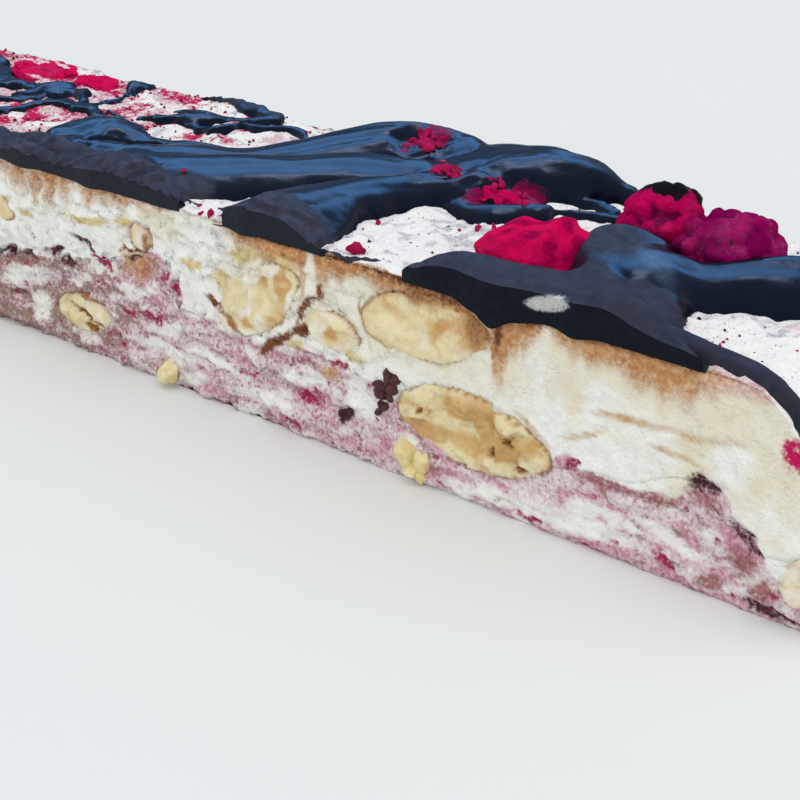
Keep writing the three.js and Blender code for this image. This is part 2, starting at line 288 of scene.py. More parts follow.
bpy.ops.object.light_add(type="SUN", rotation=(radians(-20), 0, radians(30)))
lamp = bpy.context.object
lamp.data.energy, lamp.data.angle, lamp.data.color = 0.86, radians(110), (1.0, 0.98, 0.95)
lamp.visible_glossy = False

glossy = bpy.data.collections.new("mirrors_the_lamps")
backwards = Vector((BEHIND.x, BEHIND.y, 0)).normalized()
for height, distance, across, tall, power, colour in MIRRORED:
    at = (backwards * cos(radians(height)) + Vector((0, 0, sin(radians(height))))) * distance
    bpy.ops.object.light_add(type="AREA", location=at, rotation=at.to_track_quat("Z", "Y").to_euler())
    window = bpy.context.object
    window.data.shape = "RECTANGLE"
    window.data.size, window.data.size_y = across, tall
    window.data.energy, window.data.color = power, colour
    window.light_linking.receiver_collection = glossy
print("lamps that the chocolate mirrors:", len(MIRRORED))

# %% [markdown]
# The bar was cut by hand from a slab. Its long sides stand straight, its ends lean in, and the raspberry
# layer rises and falls along it. These rules are those of the solid, so both layers keep its form.

# %% The bar's form
LENGTH, WIDTH, HEIGHT = 150.0, 30.0, 20.0
NEAR, FAR = -WIDTH / 2, WIDTH / 2
END_LEAN, END_ROUND = 6.5, 3.2
LEVEL_DRIFT, LEVEL_SWELL, SWELL_LENGTH = 0.8, 0.7, 9.0
BERRY_LEVEL = np.array([
    (-75, 8.5), (-48, 9.2), (-25, 8.8), (-13, 10.8), (-1, 13.6), (5, 8.8), (12, 9.4), (24, 9.2),
    (38, 7.2), (46, 6.4), (56, 7.8), (63, 10), (69, 5.8), (75, 6)])


def end_reach(z):
    """How far the bar reaches to either end at height z."""
    into_round = np.clip(z - (HEIGHT - END_ROUND), 0, END_ROUND)
    rounded = END_ROUND - np.sqrt(END_ROUND ** 2 - into_round ** 2)
    return LENGTH / 2 - END_LEAN * (z / HEIGHT) ** 2 - rounded


def berry_level(x, y):
    """The height at which the raspberry nougat ends and the cream nougat begins."""
    inward = y - NEAR
    place = np.clip(x - LEVEL_DRIFT * inward, -LENGTH / 2, LENGTH / 2)
    right = np.clip(np.searchsorted(BERRY_LEVEL[:, 0], place), 1, len(BERRY_LEVEL) - 1)
    (x0, z0), (x1, z1) = BERRY_LEVEL[right - 1].T, BERRY_LEVEL[right].T
    return z0 + (z1 - z0) * ease(x0, x1, place) + LEVEL_SWELL * np.sin(x / SWELL_LENGTH) * inward / WIDTH


def surface_at(x):
    """The height of the bar's top at x, falling over the round of an end."""
    heights = np.linspace(HEIGHT, 0, 400)
    return np.interp(np.abs(x), end_reach(heights), heights)


def mound(x, y):
    """How far the top swells above its level: in soft mounds at the left, hardly at all at the right."""
    flat = np.stack([x, y, np.zeros_like(x)], axis=1)
    inward = ease(0, 5, FAR - np.abs(y)) * ease(66, 58, np.abs(x))
    return inward * (0.4 + 1.4 * ease(10, -20, x)) * (lumps(flat, 6.5, 2, 29.0) - 0.4)


print("reach at the base and top:", end_reach(0.0), end_reach(HEIGHT))

# %% [markdown]
# A layer starts as a cube whose edges are divided until its faces are fine enough to carry crumbs. The grid
# is then bent to the layer's form.

# %% Two blocks bent to the layers
ALONG, ACROSS, UP = 0, 1, 2
# Beyond this, a point of the cube lies on its surface.
ON_FACE = 0.999


def divided_cube(name, cuts):
    """A cube from -1 to 1 whose edges along each axis are divided by the cuts given, in turn."""
    bpy.ops.object.select_all(action="DESELECT")
    bpy.ops.mesh.primitive_cube_add(size=2)
    cube = bpy.context.object
    cube.name = cube.data.name = name
    bpy.ops.object.mode_set(mode="EDIT")
    bpy.ops.mesh.select_mode(type="EDGE")
    for axis, number in cuts:
        grid = bmesh.from_edit_mesh(cube.data)
        for edge in grid.edges:
            start, end = edge.verts
            edge.select_set(abs(start.co[axis] - end.co[axis]) > 1e-6)
        bmesh.update_edit_mesh(cube.data)
        bpy.ops.mesh.subdivide(number_cuts=number)
    bpy.ops.object.mode_set(mode="OBJECT")
    return cube


def layer(name, low, high):
    """A layer between two heights given as rules of x and y, with its points and outward directions."""
    piece = divided_cube(name, [(ALONG, 20), (ALONG, 20), (ACROSS, 47), (UP, 31)])
    unit = read(piece) * MM
    x, y = unit[:, 0] * LENGTH / 2, unit[:, 1] * FAR
    bottom, top = low(x, y), high(x, y)
    z = bottom + (top - bottom) * (unit[:, 2] + 1) / 2
    points = np.stack([unit[:, 0] * end_reach(z), y, z], axis=1)
    outward = np.where(np.abs(unit) > ON_FACE, np.sign(unit), 0.0)
    return piece, points, outward


cream, cream_points, cream_outward = layer("cream_layer", berry_level, lambda x, y: np.full_like(x, HEIGHT))
berry, berry_points, berry_outward = layer("berry_layer", lambda x, y: np.zeros_like(x), berry_level)
cream_outward[:, 2] = np.maximum(cream_outward[:, 2], 0)
berry_outward[:, 2] = 0
print("points of the layers:", len(cream_points), len(berry_points))

# %% [markdown]
# What the knife uncovered on the near face is known from its places: where pink crumb meets white, where
# chocolate was dragged down as caramel-brown streaks, slivers of almond, dark berry skins and crimson cracks.

# %% Marks on the near face
# Where pink meets white: x and z.
MEETING = np.array([
    (-75, 9), (-60, 8), (-45, 9.6), (-25.5, 8.5), (-23, 9.3), (-20, 9.9), (-16.5, 11), (-13, 10.5),
    (-8, 11.7), (-6, 12.3), (-4, 13.5), (-1, 14.5), (1, 14), (3.5, 12), (3.8, 9.2), (4.5, 8.3), (7, 9.5),
    (10, 9.7), (14, 8.6), (22, 9.5), (27, 9), (31, 8), (38, 4.5), (46, 4.5), (49.5, 8), (52, 8.2), (54, 7.2),
    (56.5, 7.5), (59, 8), (60.5, 7), (62, 9.7), (63.5, 10.6), (65, 10), (66.5, 8), (68, 7.2), (69, 5.5),
    (70, 4.5), (75, 4.5)])
# Along the bar: how far down the brown streaks reach, in mm, and how strong they are.
STREAKS = np.array([
    (-75, 3, 0.6), (-50, 2.6, 0.6), (-30, 1.8, 0.4), (-26, 2.0, 0.5), (-22, 4.0, 0.7), (-15, 3.4, 0.7),
    (-8, 2.4, 0.65), (-3, 1.8, 0.55), (1, 1.3, 0.5), (4, 0.6, 0.3), (9, 0.8, 0.4), (12, 3.0, 0.75),
    (18, 3.2, 0.8), (20.5, 2.8, 0.8), (21.2, 0.4, 0.1), (22.3, 2.8, 0.95), (26, 2.5, 0.9), (28, 2.0, 0.8),
    (30, 2.8, 0.9), (36, 3.4, 0.95), (41.6, 3.4, 0.95), (42.2, 6.8, 1.0), (43.3, 6.6, 1.0), (44.0, 3.8, 0.9),
    (46.5, 3.4, 0.8), (47.5, 0.5, 0.2), (49, 3, 0.8), (54, 3, 0.9), (60, 4.2, 0.75), (63, 2.8, 0.5),
    (67, 1.6, 0.25), (75, 0.8, 0.2)])
# Along the bar: how far down the darkest brown reaches, in mm.
SCORCHED = np.array([(9, 0.8), (14, 1.2), (22, 0.8), (30, 1.4), (41, 2.1), (50, 1.3), (62, 0.6)])
# Middle x and z, half length, half height, tilt in degrees.
MARKS = {
    "white": [
        (-21.5, 6.6, 5.2, 1.5, 14), (-19.2, 3.4, 1.9, 1.7, 40), (1.4, 6.4, 3.0, 1.0, 16),
        (0, 4.2, 5, 0.6, 3), (8, 4.9, 4.5, 0.6, -4), (15, 2.7, 5, 0.7, 4), (27.2, 6.6, 2.8, 2.6, 50),
        (44, 1.8, 6, 0.9, 0), (53, 2.3, 5.5, 1.0, 4), (60.5, 4.1, 4.0, 0.8, -10), (68.2, 3.0, 1.6, 0.8, 0),
        (20, 6.8, 3, 0.6, 8)],
    "caramel": [(-2.5, 12.4, 2.6, 1.7, 10), (42.8, 15.0, 0.7, 3.0, 0), (23.4, 8.2, 1.2, 0.9, 20)],
    "vein": [
        (57.5, 13.6, 6.5, 0.36, 4), (51.6, 10.9, 2.4, 0.36, 25), (46.5, 9.8, 2.6, 0.34, -30),
        (60.5, 11.9, 3.0, 0.34, -4), (64.5, 14.4, 2.2, 0.34, 8), (15.2, 17.7, 5.0, 0.4, 11),
        (20.4, 16.0, 0.36, 2.2, 0), (27.6, 14.6, 0.36, 1.8, 22), (8.6, 14.8, 1.9, 0.3, 50)],
    "maroon": [
        (55.4, 7.0, 4.6, 0.6, 2), (60.0, 7.6, 2.6, 0.6, 16), (63.4, 8.9, 1.8, 1.2, 0),
        (67, 4.4, 1.6, 1.6, 0), (64.5, 1.5, 1.4, 0.9, 0), (-8, 9.6, 3.0, 0.5, 8), (-22, 8.2, 2.6, 0.4, 8),
        (20, 8.4, 2.6, 0.4, 6), (69.4, 2.4, 1.6, 1.2, 0)],
    "plum": [
        (-24.4, 8.9, 1.7, 0.4, 15), (-21, 9.6, 1.1, 0.35, 10), (-15.9, 10.8, 1.3, 0.55, 10),
        (-12, 12.8, 1.5, 0.5, -15), (-10.2, 12.3, 0.9, 0.45, -30), (-13.4, 10.3, 1.3, 0.4, 10),
        (-23, 4.4, 2.2, 0.4, 8), (2.1, 13.8, 0.6, 0.5, 0), (-9, 10.8, 1.0, 0.4, 5), (70, 0.8, 3.0, 0.5, -5),
        (63.4, 10.2, 1.7, 0.6, 8), (67.0, 7.2, 1.3, 0.6, -18), (68.3, 5.8, 1.0, 0.4, -10),
        (25.2, 4.3, 0.8, 0.8, 0)],
    "crimson": [
        (-3.8, 6.6, 1.5, 0.32, 25), (-1.3, 7.1, 1.7, 0.36, 2), (1.5, 7.8, 1.9, 0.3, 18),
        (3.1, 11.2, 0.9, 0.8, 0), (1.2, 11.9, 1.0, 0.7, 60), (-8.6, 11.0, 1.8, 0.5, -10),
        (60, 2.1, 1.1, 0.5, -20), (50.6, 7.4, 1.4, 0.35, 30), (20.6, 4.6, 1.8, 0.7, 0),
        (18.5, 1.2, 1.8, 0.5, 0), (-5.6, 2.6, 1.0, 0.5, 0), (46.5, 0.9, 1.8, 0.4, 0),
        (12.5, 5.0, 1.6, 0.4, 10), (24.6, 9.4, 1.2, 0.4, 10)],
    "yolk": [
        (-9.8, 15.5, 3.0, 0.6, 6), (-4.2, 16.9, 1.8, 0.35, 8), (5.4, 14.5, 1.7, 0.5, -15),
        (-20.3, 14.3, 1.2, 0.5, -12), (9.4, 13.8, 1.2, 1.3, 0), (12.6, 17.0, 1.8, 0.8, 15),
        (18.6, 17.6, 1.4, 0.7, 0), (21.4, 12.6, 1.4, 0.6, 30), (19.0, 9.8, 1.2, 0.7, 20),
        (26.4, 11.0, 1.4, 0.7, -20)],
    "skin": [
        (8.4, 11.3, 1.5, 0.6, -12), (10.6, 9.6, 1.7, 0.5, -28), (16.6, 9.3, 3.6, 0.5, 38),
        # The skin mark at x -3.4, z 14.1 is painted shade: the dark crease under the small nut.
        (20, 11.7, 1.4, 0.75, 15), (20.6, 14.0, 2.2, 0.35, 50), (-3.4, 14.1, 2.2, 0.35, 20),
        (22.3, 16.2, 0.4, 0.9, 0), (42.7, 17.6, 0.5, 2.2, 0)],
}
print("kinds of marks:", {kind: len(marks) for kind, marks in MARKS.items()})

# %% [markdown]
# A mark is drawn as a soft tilted ellipse at points that noise has shifted, so none has a clean edge. The far
# side, the ends and the hidden stretch of the near face get marks of the same kinds at places drawn once from
# seeded chance.

# %% Drawing the marks
# For each kind: how many in 100 mm, half length and half height in mm, and from which height to which.
CHANCE_MARKS = {
    "white": (26, 3.6, 0.9, 1, 9), "caramel": (8, 2.2, 1.0, 2, 12), "plum": (34, 1.2, 0.4, 2, 12),
    "crimson": (40, 1.4, 0.4, 1, 9), "yolk": (14, 2.2, 0.5, 8.5, 17), "skin": (16, 1.8, 0.35, 2, 12),
    "maroon": (14, 3.0, 0.6, 2, 12), "vein": (14, 3.0, 0.36, 2, 12)}
SEEN_FROM = -27.0
# Where the far side and the ends lie when all sides are rolled out beside the near face.
FAR_SIDE_AT, ENDS_AT = 400, 600
# Within this many mm, a point lies on a side of the bar.
TOUCH = 0.01


def spot(along, z, x0, z0, half_length, half_height, tilt):
    """1 within a tilted ellipse, falling to 0 around its edge."""
    turn = radians(tilt)
    right, up = along - x0, z - z0
    u = (right * np.cos(turn) + up * np.sin(turn)) / half_length
    v = (up * np.cos(turn) - right * np.sin(turn)) / half_height
    return ease(1.4, 0.5, np.hypot(u, v))


def spots(along, z, places):
    """The strongest of several such ellipses at each point."""
    return np.max([np.zeros(len(along))] + [spot(along, z, *place) for place in places], axis=0)


def warped(points, size, reach):
    """The points, each shifted by noise, so that marks drawn at them come out uneven."""
    shift = np.stack([lumps(points, size, 3, start) - 0.5 for start in (61.0, 67.0, 71.0)], axis=1)
    return points + 2 * reach * shift


def marks_at(points, uneven, near, kind, rng):
    """The strength of one kind of mark: known ones on the near face, drawn ones where nothing is known."""
    x, y, z = uneven.T
    value = spots(x, z, MARKS[kind]) * near
    number, half_length, half_height, low, high = CHANCE_MARKS[kind]
    on_far = points[:, 1] > FAR - TOUCH
    around = np.where(near > 0, x, np.where(on_far, FAR_SIDE_AT - x, np.sign(x) * ENDS_AT + y))
    spans = [(-LENGTH / 2, SEEN_FROM), (FAR_SIDE_AT - LENGTH / 2, FAR_SIDE_AT + LENGTH / 2),
             (ENDS_AT - FAR, ENDS_AT + FAR), (-ENDS_AT - FAR, -ENDS_AT + FAR)]
    for start, end in spans:
        for _ in range(round(number * (end - start) / 100)):
            mark = (rng.uniform(start, end), rng.uniform(low, high), half_length * rng.uniform(0.4, 1.2),
                    half_height * rng.uniform(0.5, 1.4), rng.uniform(-20, 20))
            value = np.maximum(value, spot(around, z, *mark))
    return value


print("marks by chance in 100 mm:", sum(row[0] for row in CHANCE_MARKS.values()))

# %% [markdown]
# Inside the outline of a cut almond the nougat stands back, so that the almond's own face shows, but here and
# there the knife dragged a tongue of nougat over the rim. The distance to the nearest rim tells where.

# %% Room for the almonds
nut_names = sorted(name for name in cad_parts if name.startswith("almond") or name == "small_nut")
# Distances stop at this many mm, and each edge of a rim is divided in this many steps.
FAR_AWAY, RIM_STEPS = 3.0, 4


def cut_face(node_name):
    """The outward direction of a nut's cut face."""
    low, high = (np.array(corner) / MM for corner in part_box(node_name))
    if low[1] < NEAR + TOUCH:
        return np.array([0, -1.0, 0])
    if high[1] > FAR - TOUCH:
        return np.array([0, 1.0, 0])
    return np.array([np.sign(low[0]), 0, 0])


nut_points, nut_faces, rim_points = [], [], []
for name in nut_names:
    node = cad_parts[name]
    corners = [node.matrix_world @ corner.co for corner in node.data.vertices]
    facing = Vector(cut_face(name))
    borders = {}
    for face in node.data.polygons:
        if (node.matrix_world.to_3x3() @ face.normal).dot(facing) > 0.99:
            for pair in face.edge_keys:
                ends = tuple(sorted(tuple(round(c, 6) for c in corners[k]) for k in pair))
                borders[ends] = borders.get(ends, 0) + 1
    for (start, end), times in borders.items():
        if times == 1:
            rim_points += [Vector(start).lerp(Vector(end), k / RIM_STEPS) for k in range(RIM_STEPS)]
    nut_faces += [[len(nut_points) + corner for corner in face.vertices] for face in node.data.polygons]
    nut_points += corners
nut_tree = BVHTree.FromPolygons(nut_points, nut_faces)
rim_tree = KDTree(len(rim_points))
for number, point in enumerate(rim_points):
    rim_tree.insert(point, number)
rim_tree.balance()


def nut_distance(points, outward):
    """How far in mm each point of an outer face is from the nearest nut; negative inside a cut face's rim."""
    distance = np.full(len(points), FAR_AWAY)
    for i in np.flatnonzero(np.abs(outward[:, :2]).sum(axis=1)):
        hit = nut_tree.find_nearest(points[i] * MM, FAR_AWAY * MM)
        if hit[3] is not None:
            distance[i] = hit[3] / MM if hit[3] > 0.02 * MM else -rim_tree.find(points[i] * MM)[2] / MM
    return distance


print("nuts:", len(nut_names), "points on their rims:", len(rim_points))

# %% [markdown]
# Under the wavy line the cut side is pink. The raspberry nougat tore there into fibres that lie along the
# bar: their crests are white, and between them a deeper rose is painted as shade. Towards the left it is
# browner. From the top, the knife dragged chocolate down in streaks.

# %% Pink crumb and brown streaks
def pink_crumb(points, uneven, near, side, rng):
    """How deep a point lies under the line in mm, how pink, white and brown it is, how rosy with painted
    shade between the fibres, and its fibre.
    """
    x, y, z = points.T
    fade = np.clip(1 - (y - NEAR) / 8, 0, 1)
    level = berry_level(x, y) * (1 - fade) + np.interp(x, *MEETING.T) * fade
    depth = level - z + waves(points, 1.8, 1.4, 3) + waves(points, 1.2, 3.5, 2, 3.1)
    white = marks_at(points, uneven, near, "white", rng)
    white = np.maximum(white, 0.9 * patches(points, (4.2, 4.2, 1.8), 4, 11.0, 0.50, 0.70))
    fibre = lumps(points, (2.6, 2.6, 0.9), 3, 1.5)
    # Rosy is partly the berry nougat's own colour in patches and partly painted shade, deeper where the
    # fibres are low.
    rosy = 0.55 * lumps(points, (2.0, 2.0, 0.9), 4, 5.0) + 0.45 * (1 - fibre)
    rosy = ease(0.36, 0.74, rosy + 0.02 * ease(-14, 2, x) + 0.02 * ease(25, 45, x))
    brown = ease(0.40, 0.75, lumps(points, (1.8, 1.8, 1.0), 4, 9.0) + 0.30 * ease(4, -14, x) - 0.12)
    at_foot = 0.8 * patches(points, 1.3, 3, 2.0, 0.42, 0.70) * ease(2.6, 0.8, z) * ease(30, 10, x)
    return depth, ease(-0.5, 0.5, depth) * side, white, rosy, np.maximum(brown, at_foot), fibre


def brown_streaks(points, long_side):
    """How caramel-brown and how scorched the streaks are."""
    x, down = points[:, 0], HEIGHT - points[:, 2]
    reach, strength = np.interp(x, *STREAKS[:, :2].T), np.interp(x, *STREAKS[:, ::2].T)
    blur = lumps(points, (0.8, 0.8, 9), 2, 4.0)
    at_left = ease(6, 0, x)
    caramel = (1.15 + 0.3 * at_left * (3 * blur - 1.5)) * strength
    caramel *= ease(reach * (0.6 + 1.6 * blur), 0.25 * reach, down)
    caramel *= long_side * (0.6 + 0.8 * lumps(points, 2.6, 2, 12.0))
    scorched = strength * (1 + 0.35 * at_left)
    scorched *= ease(np.interp(x, *SCORCHED.T) * (0.6 + 0.9 * blur), 0.0, down)
    scorched *= long_side * (0.5 + lumps(points, 2.2, 2, 14.0))
    return caramel, scorched


print("deepest streak in mm:", STREAKS[:, 1].max())

# %% [markdown]
# Each mark is uneven in itself, so its strength is multiplied by noise. Some marks are too many to place one
# by one: dark skins at the edge of the pink, specks and hairs of juice in it, and warm smears in the cream.

# %% What shows on the cut sides
def side_marks(points, uneven, near, side, long_side, rng):
    """All that is painted on the cut sides, by name, and also how pink they are and the fibres' height."""
    x, z = points[:, 0], points[:, 2]
    depth, pink, white, rosy, crumb, fibre = pink_crumb(points, uneven, near, side, rng)
    streaks, scorched = brown_streaks(points, long_side)
    kinds = ("caramel", "plum", "maroon", "crimson", "yolk", "skin")
    marks = {kind: marks_at(points, uneven, near, kind, rng) for kind in kinds}
    marks["vein"] = marks_at(points, warped(points, 4.0, 0.4), near, "vein", rng)
    marks["vein"] *= 0.2 + 0.8 * lumps(points, 2.0, 2, 18.0)
    marks["maroon"] *= 0.3 + lumps(points, 1.4, 3, 10.0)
    marks["caramel"] = np.maximum(streaks, marks["caramel"] * (0.35 + 0.8 * lumps(points, 1.2, 3)))
    marks["skin"] = np.maximum(marks["skin"], scorched)
    skins = 0.9 * bell(depth - 0.2, 0.5) * patches(points, 1.8, 3, 8.0, 0.5, 0.7) * side * ease(8, -6, x)
    marks["plum"] = np.maximum(marks["plum"] * (0.4 + 0.9 * lumps(points, 1.3, 3, 10.5)), skins)
    hairs = bell(waves(points, 1, (3.5, 3.5, 1.4), 3, 13.5), 0.02) * pink * (1 - 0.5 * white)
    hairs *= 0.4 * patches(points, 2.2, 2, 14.5, 0.4, 0.6)
    juicy = np.maximum(patches(points, 0.9, 3, 13.0, 0.62, 0.78) * pink, hairs)
    marks["crimson"] = np.maximum(marks["crimson"] * (0.55 + 0.7 * lumps(points, 0.8, 2, 6.0)), 0.7 * juicy)
    dragged = 0.4 * lumps(points, (2.2, 2.2, 7), 2, 15.0) + 0.6 * lumps(points, (6, 6, 3.5), 3, 16.0)
    warm = ease(0.36, 0.70, dragged + 0.22 * ease(16, 55, x) - 0.14 + 0.22 * (ease(8, 18, z) - 0.6))
    warm = np.maximum(warm, (0.45 + 0.4 * dragged) * ease(7, 12, x) * ease(52, 44, x) * ease(9, 13, z))
    marks["warm"] = warm * side * (1 - pink)
    marks["berry"] = pink * (1 - 0.85 * white)
    marks["rosy"], marks["crumb"] = (value * pink * (1 - 0.8 * white) for value in (rosy, crumb))
    marks["grit"] = (0.37 - 0.05 * ease(15, 45, x)) * pink * (1 - 0.5 * white)
    return marks, pink, fibre


print("painted by chance as well:", ", ".join(sorted(CHANCE_MARKS)))

# %% [markdown]
# The raspberry nougat broke into crumbs under the knife while the softer cream nougat smeared and tore into
# thin ledges. The top is dusted with milk powder and stained by the berries, most of all towards the left.

# %% Relief and paint on the layers
# How far the nougat stands back at a cut almond, in mm.
SINK = 1.1
# Along the bar: how much more than elsewhere the top is stained.
STAINED = np.array([
    (-75, 0.24), (-40, 0.22), (-10, 0.1), (6, -0.08), (20, -0.14), (32, -0.16), (55, -0.12), (75, -0.1)])
# On the near face: a drop of juice at the right, and a blush along the upper edge.
JUICE, BLUSH = (70.6, 15.0, 1.5, 1.5, 0), (64.5, 19.7, 6.0, 1.3, 0)


def side_relief(points, pink, fibre):
    """How far the cut sides stand out in mm: ledges and smears in the cream, crumbs in the pink."""
    x = points[:, 0]
    torn = ease(48, 8, x)
    ledges = np.modf(5 * lumps(points, (4.5, 4.5, 2.0), 3, 17.0))[0]
    smear = (0.15 + 0.35 * torn) * (ease(0.0, 0.85, ledges) - 0.5) + waves(points, 0.4, 1.4, 2, 19.0)
    smear += ease(30, 5, x) * waves(points, 1.0, (3.2, 3.2, 2.4), 2, 20.0)
    crumbs = 1.2 * (fibre - 0.5) + waves(points, 0.8, 0.7, 2, 7.0)
    return waves(points, 0.7, 9, 2, 25.0) + smear * (1 - pink) + crumbs * pink * (0.6 + 0.9 * torn)


def dress(piece, points, outward, seed):
    """Moves a layer's outer points by the relief, and paints what shows on it."""
    x, y, z = points.T
    side = (np.abs(outward[:, :2]).sum(axis=1) > 0).astype(float)
    top = (outward[:, 2] > 0) & (side == 0)
    near, long_side = (outward[:, 1] < 0).astype(float), np.abs(outward[:, 1])
    uneven = warped(points, 1.6, 0.9)
    rng = np.random.default_rng(seed)
    marks, pink, fibre = side_marks(points, uneven, near, side, long_side, rng)

    gap = nut_distance(points, outward)
    tongue = 2.2 * np.maximum(0, lumps(points, 2.4, 2, 30.0) - 0.48)
    inside = ease(0.15, -0.55, gap + tongue)
    crease = bell(gap, 0.5) * side * (1 - inside) * patches(points, 2.6, 2, 32.0, 0.35, 0.6)
    seam = bell(gap + 0.1, 0.35) * side * patches(points, 3.0, 2, 34.0, 0.3, 0.6)
    seam *= 1 - 0.75 * near * ease(6, 9, x) * ease(29, 26, x)
    relief = side_relief(points, pink, fibre)
    relief -= 0.35 * np.maximum(marks["plum"], marks["crimson"]) * (1 - top)
    relief += 0.15 * ease(0.3, -0.2, gap)
    relief = relief * (1 - inside) - SINK * inside - 0.12 * crease
    # The edges along the top and the foot are a little worn.
    relief -= 0.45 * bell(HEIGHT - z, 0.5) * long_side + 0.4 * bell(z, 0.5) * side
    snow = waves(points, 1.2, 2.6, 3, 27.0) + waves(points, 0.7, 0.9, 2)
    relief = np.where(top, mound(x, y) + snow, relief)
    length = np.maximum(np.linalg.norm(outward, axis=1, keepdims=True), 1)
    moved = points + outward / length * relief[:, None]
    moved[:, 2] = np.maximum(moved[:, 2], 0)
    write(piece, moved)

    stained = np.interp(x, *STAINED.T)
    stain = ease(0.52, 0.74, lumps(points, 3.2, 4, 21.0) + stained) * top
    juice = ease(0.60, 0.80, lumps(points, 2.6, 4, 23.0) + stained) * top
    juice *= patches(points, 0.7, 2, 24.0, 0.3, 0.6)
    juice = np.maximum(juice, near * spot(uneven[:, 0], uneven[:, 2], *JUICE))
    blush = spot(x, z, *BLUSH) * (y < NEAR + 3) * (0.3 + lumps(points, 1.6, 3, 22.0))
    brow = (np.abs(outward[:, 0]) > 0) * ease(15.5, 17.5, z + waves(points, 2, 2.5, 2, 28.0))
    marks["berry"] = np.maximum(marks["berry"], 0.5 * stain)
    marks["rosy"] = np.max([marks["rosy"], 0.5 * stain, 0.6 * blush], axis=0)
    marks["skin"] = np.maximum(marks["skin"], 0.6 * seam)
    # Grey-lilac painted shade in the small grooves of the powder on the top, in patches of noise.
    groove = 0.9 * top * patches(points, (1.5, 1.1, 1.1), 3, 27.5, 0.46, 0.30)
    paint(piece, powder=np.maximum(top, brow), juice=juice, speck=0.31 * top, groove=groove, **marks)


dress(cream, cream_points, cream_outward, SEED + 1)
dress(berry, berry_points, berry_outward, SEED + 2)
print("highest points of the layers in mm:", [round(read(piece)[:, 2].max(), 2) for piece in (cream, berry)])

# %% [markdown]
# Nougat is beaten sugar foam, so it scatters light and has no gloss. Both layers share one material, and the
# paint decides where it is white, warm, pink or stained, and where shade is painted into grooves and between
# fibres.

# %% Nougat
# Matte sugar foam: whites that lean to cream, with every stain and smear as a coat of its own, and painted
# shade in the powder's grooves and between the pink fibres.
nougat = material(
    "nougat", ("#fcfefb", "#f2f3ec", 1.5), [
        ("warm", "#eae3ca", "#efebdb", 1.6, 0.5, 0.5, 0.7),
        ("powder", "#fdfeff", "#f6f7f9", 1.0, 0.1, 0.2, 0.9),
        ("groove", "#d6d7e0", "#c4c5d2", 0.4, 0.9, 0.45, 0.9),
        ("berry", "#ece4e5", "#dac8cc", 0.5, 0.7, 0.4, 0.85),
        ("rosy", "#dcabba", "#c9859f", 0.45, 1.0, 0.5, 0.8),
        ("crumb", "#a99484", "#8b7162", 0.4, 1.1, 0.5, 0.85),
        ("grit", "#be96a2", "#9c6a79", 0.3, 2.0, 0.2, 0.85),
        ("maroon", "#b07a7c", "#8d5257", 0.5, 0.7, 0.5, 0.8),
        ("caramel", "#d0a273", "#b98052", 0.8, 0.5, 0.5, 0.6),
        ("vein", "#d0ac76", "#b88c58", 0.6, 0.3, 0.5, 0.6),
        ("yolk", "#e6d7a6", "#dac48a", 0.7, 0.8, 0.45, 0.6),
        ("skin", "#8e5638", "#663a28", 0.5, 0.8, 0.45, 0.6),
        ("plum", "#6a4246", "#3f2228", 0.4, 0.8, 0.4, 0.6),
        ("crimson", "#b83560", "#92244a", 0.35, 1.1, 0.45, 0.55),
        ("juice", "#d42c6c", "#b5114f", 0.5, 1.2, 0.4, 0.7),
        ("speck", "#7d7480", "#a85070", 0.5, 1.3, 0.06, 0.6)],
    0.7, [(0.6, 0.3), (0.2, 0.13)], specular=0.2)
for piece, slot in ((cream, "cream_nougat"), (berry, "berry_nougat")):
    piece.data.materials.append(nougat)
    finish(piece, slot, slot)

# %% [markdown]
# The almonds went under the knife with the slab, so each shows a flat cut face level with the side, waxy and
# a little torn, inside a thin brown skin. What shows on each face is known from its places.

# %% What shows on the almonds
# Toasted, pitted, flaked pale, and covered by torn skin: x, z, half length, half height, tilt.
TOASTED = {
    "almond_01": [
        (36.4, 9.2, 2.6, 1.2, -10), (40.4, 8.2, 3.4, 2.0, -8), (43.6, 8.9, 2.4, 1.4, -10),
        (34.4, 5.9, 2.0, 1.0, -5), (42.6, 6.4, 2.6, 1.2, -20)],
    "almond_02": [
        (33, 18.6, 5.5, 2.0, 4), (36.2, 16.6, 1.3, 2.4, 0), (38.8, 17.4, 3.6, 2.6, -10),
        (40.8, 15.2, 1.0, 2.6, 0)],
    "almond_03": [
        (16.9, 11.4, 2.0, 1.6, 40), (17.6, 15.6, 0.8, 2.2, 0), (15.0, 16.0, 0.7, 1.6, 0),
        (13.0, 10.4, 1.6, 0.8, 0)],
    "almond_04": [(23.8, 11.9, 1.2, 0.9, 20)],
}
PITTED = {
    "almond_01": [
        (44.4, 7.3, 1.3, 0.35, -14), (45.7, 5.6, 0.6, 0.45, 0), (42.6, 5.9, 0.3, 0.6, 10),
        (34.2, 7.4, 0.4, 0.3, 0)],
    "almond_05": [(-10.6, 3.1, 1.6, 0.6, -10), (-11.8, 4.4, 3.4, 0.2, -14)],
}
FLAKED = {
    "almond_01": [
        (33.8, 9.2, 2.2, 1.1, 0), (33.0, 7.2, 1.6, 0.5, 10), (38.9, 4.5, 2.6, 0.8, -6),
        (44.4, 4.8, 2.4, 0.9, 0), (45.4, 9.3, 1.4, 0.5, -10), (46.6, 6.0, 0.9, 0.8, 0)],
    "almond_02": [(31, 14.6, 3.2, 1.6, -10), (36.5, 13.4, 3.2, 1.2, -4)],
    "almond_04": [(21.6, 10.9, 1.2, 0.7, -20), (24.6, 13.4, 2.0, 0.8, -10)],
}
PEELED = {
    "almond_02": [(34, 19.3, 7.0, 1.3, 0), (40.6, 17.6, 1.2, 2.0, 20)],
    "almond_03": [(10.4, 9.7, 2.0, 0.5, -38), (9.2, 11.6, 1.0, 0.4, -60)],
    "almond_05": [(-12.0, 6.9, 3.4, 0.35, -8)],
    "small_nut": [(-0.9, 15.0, 0.5, 1.4, 10)],
}
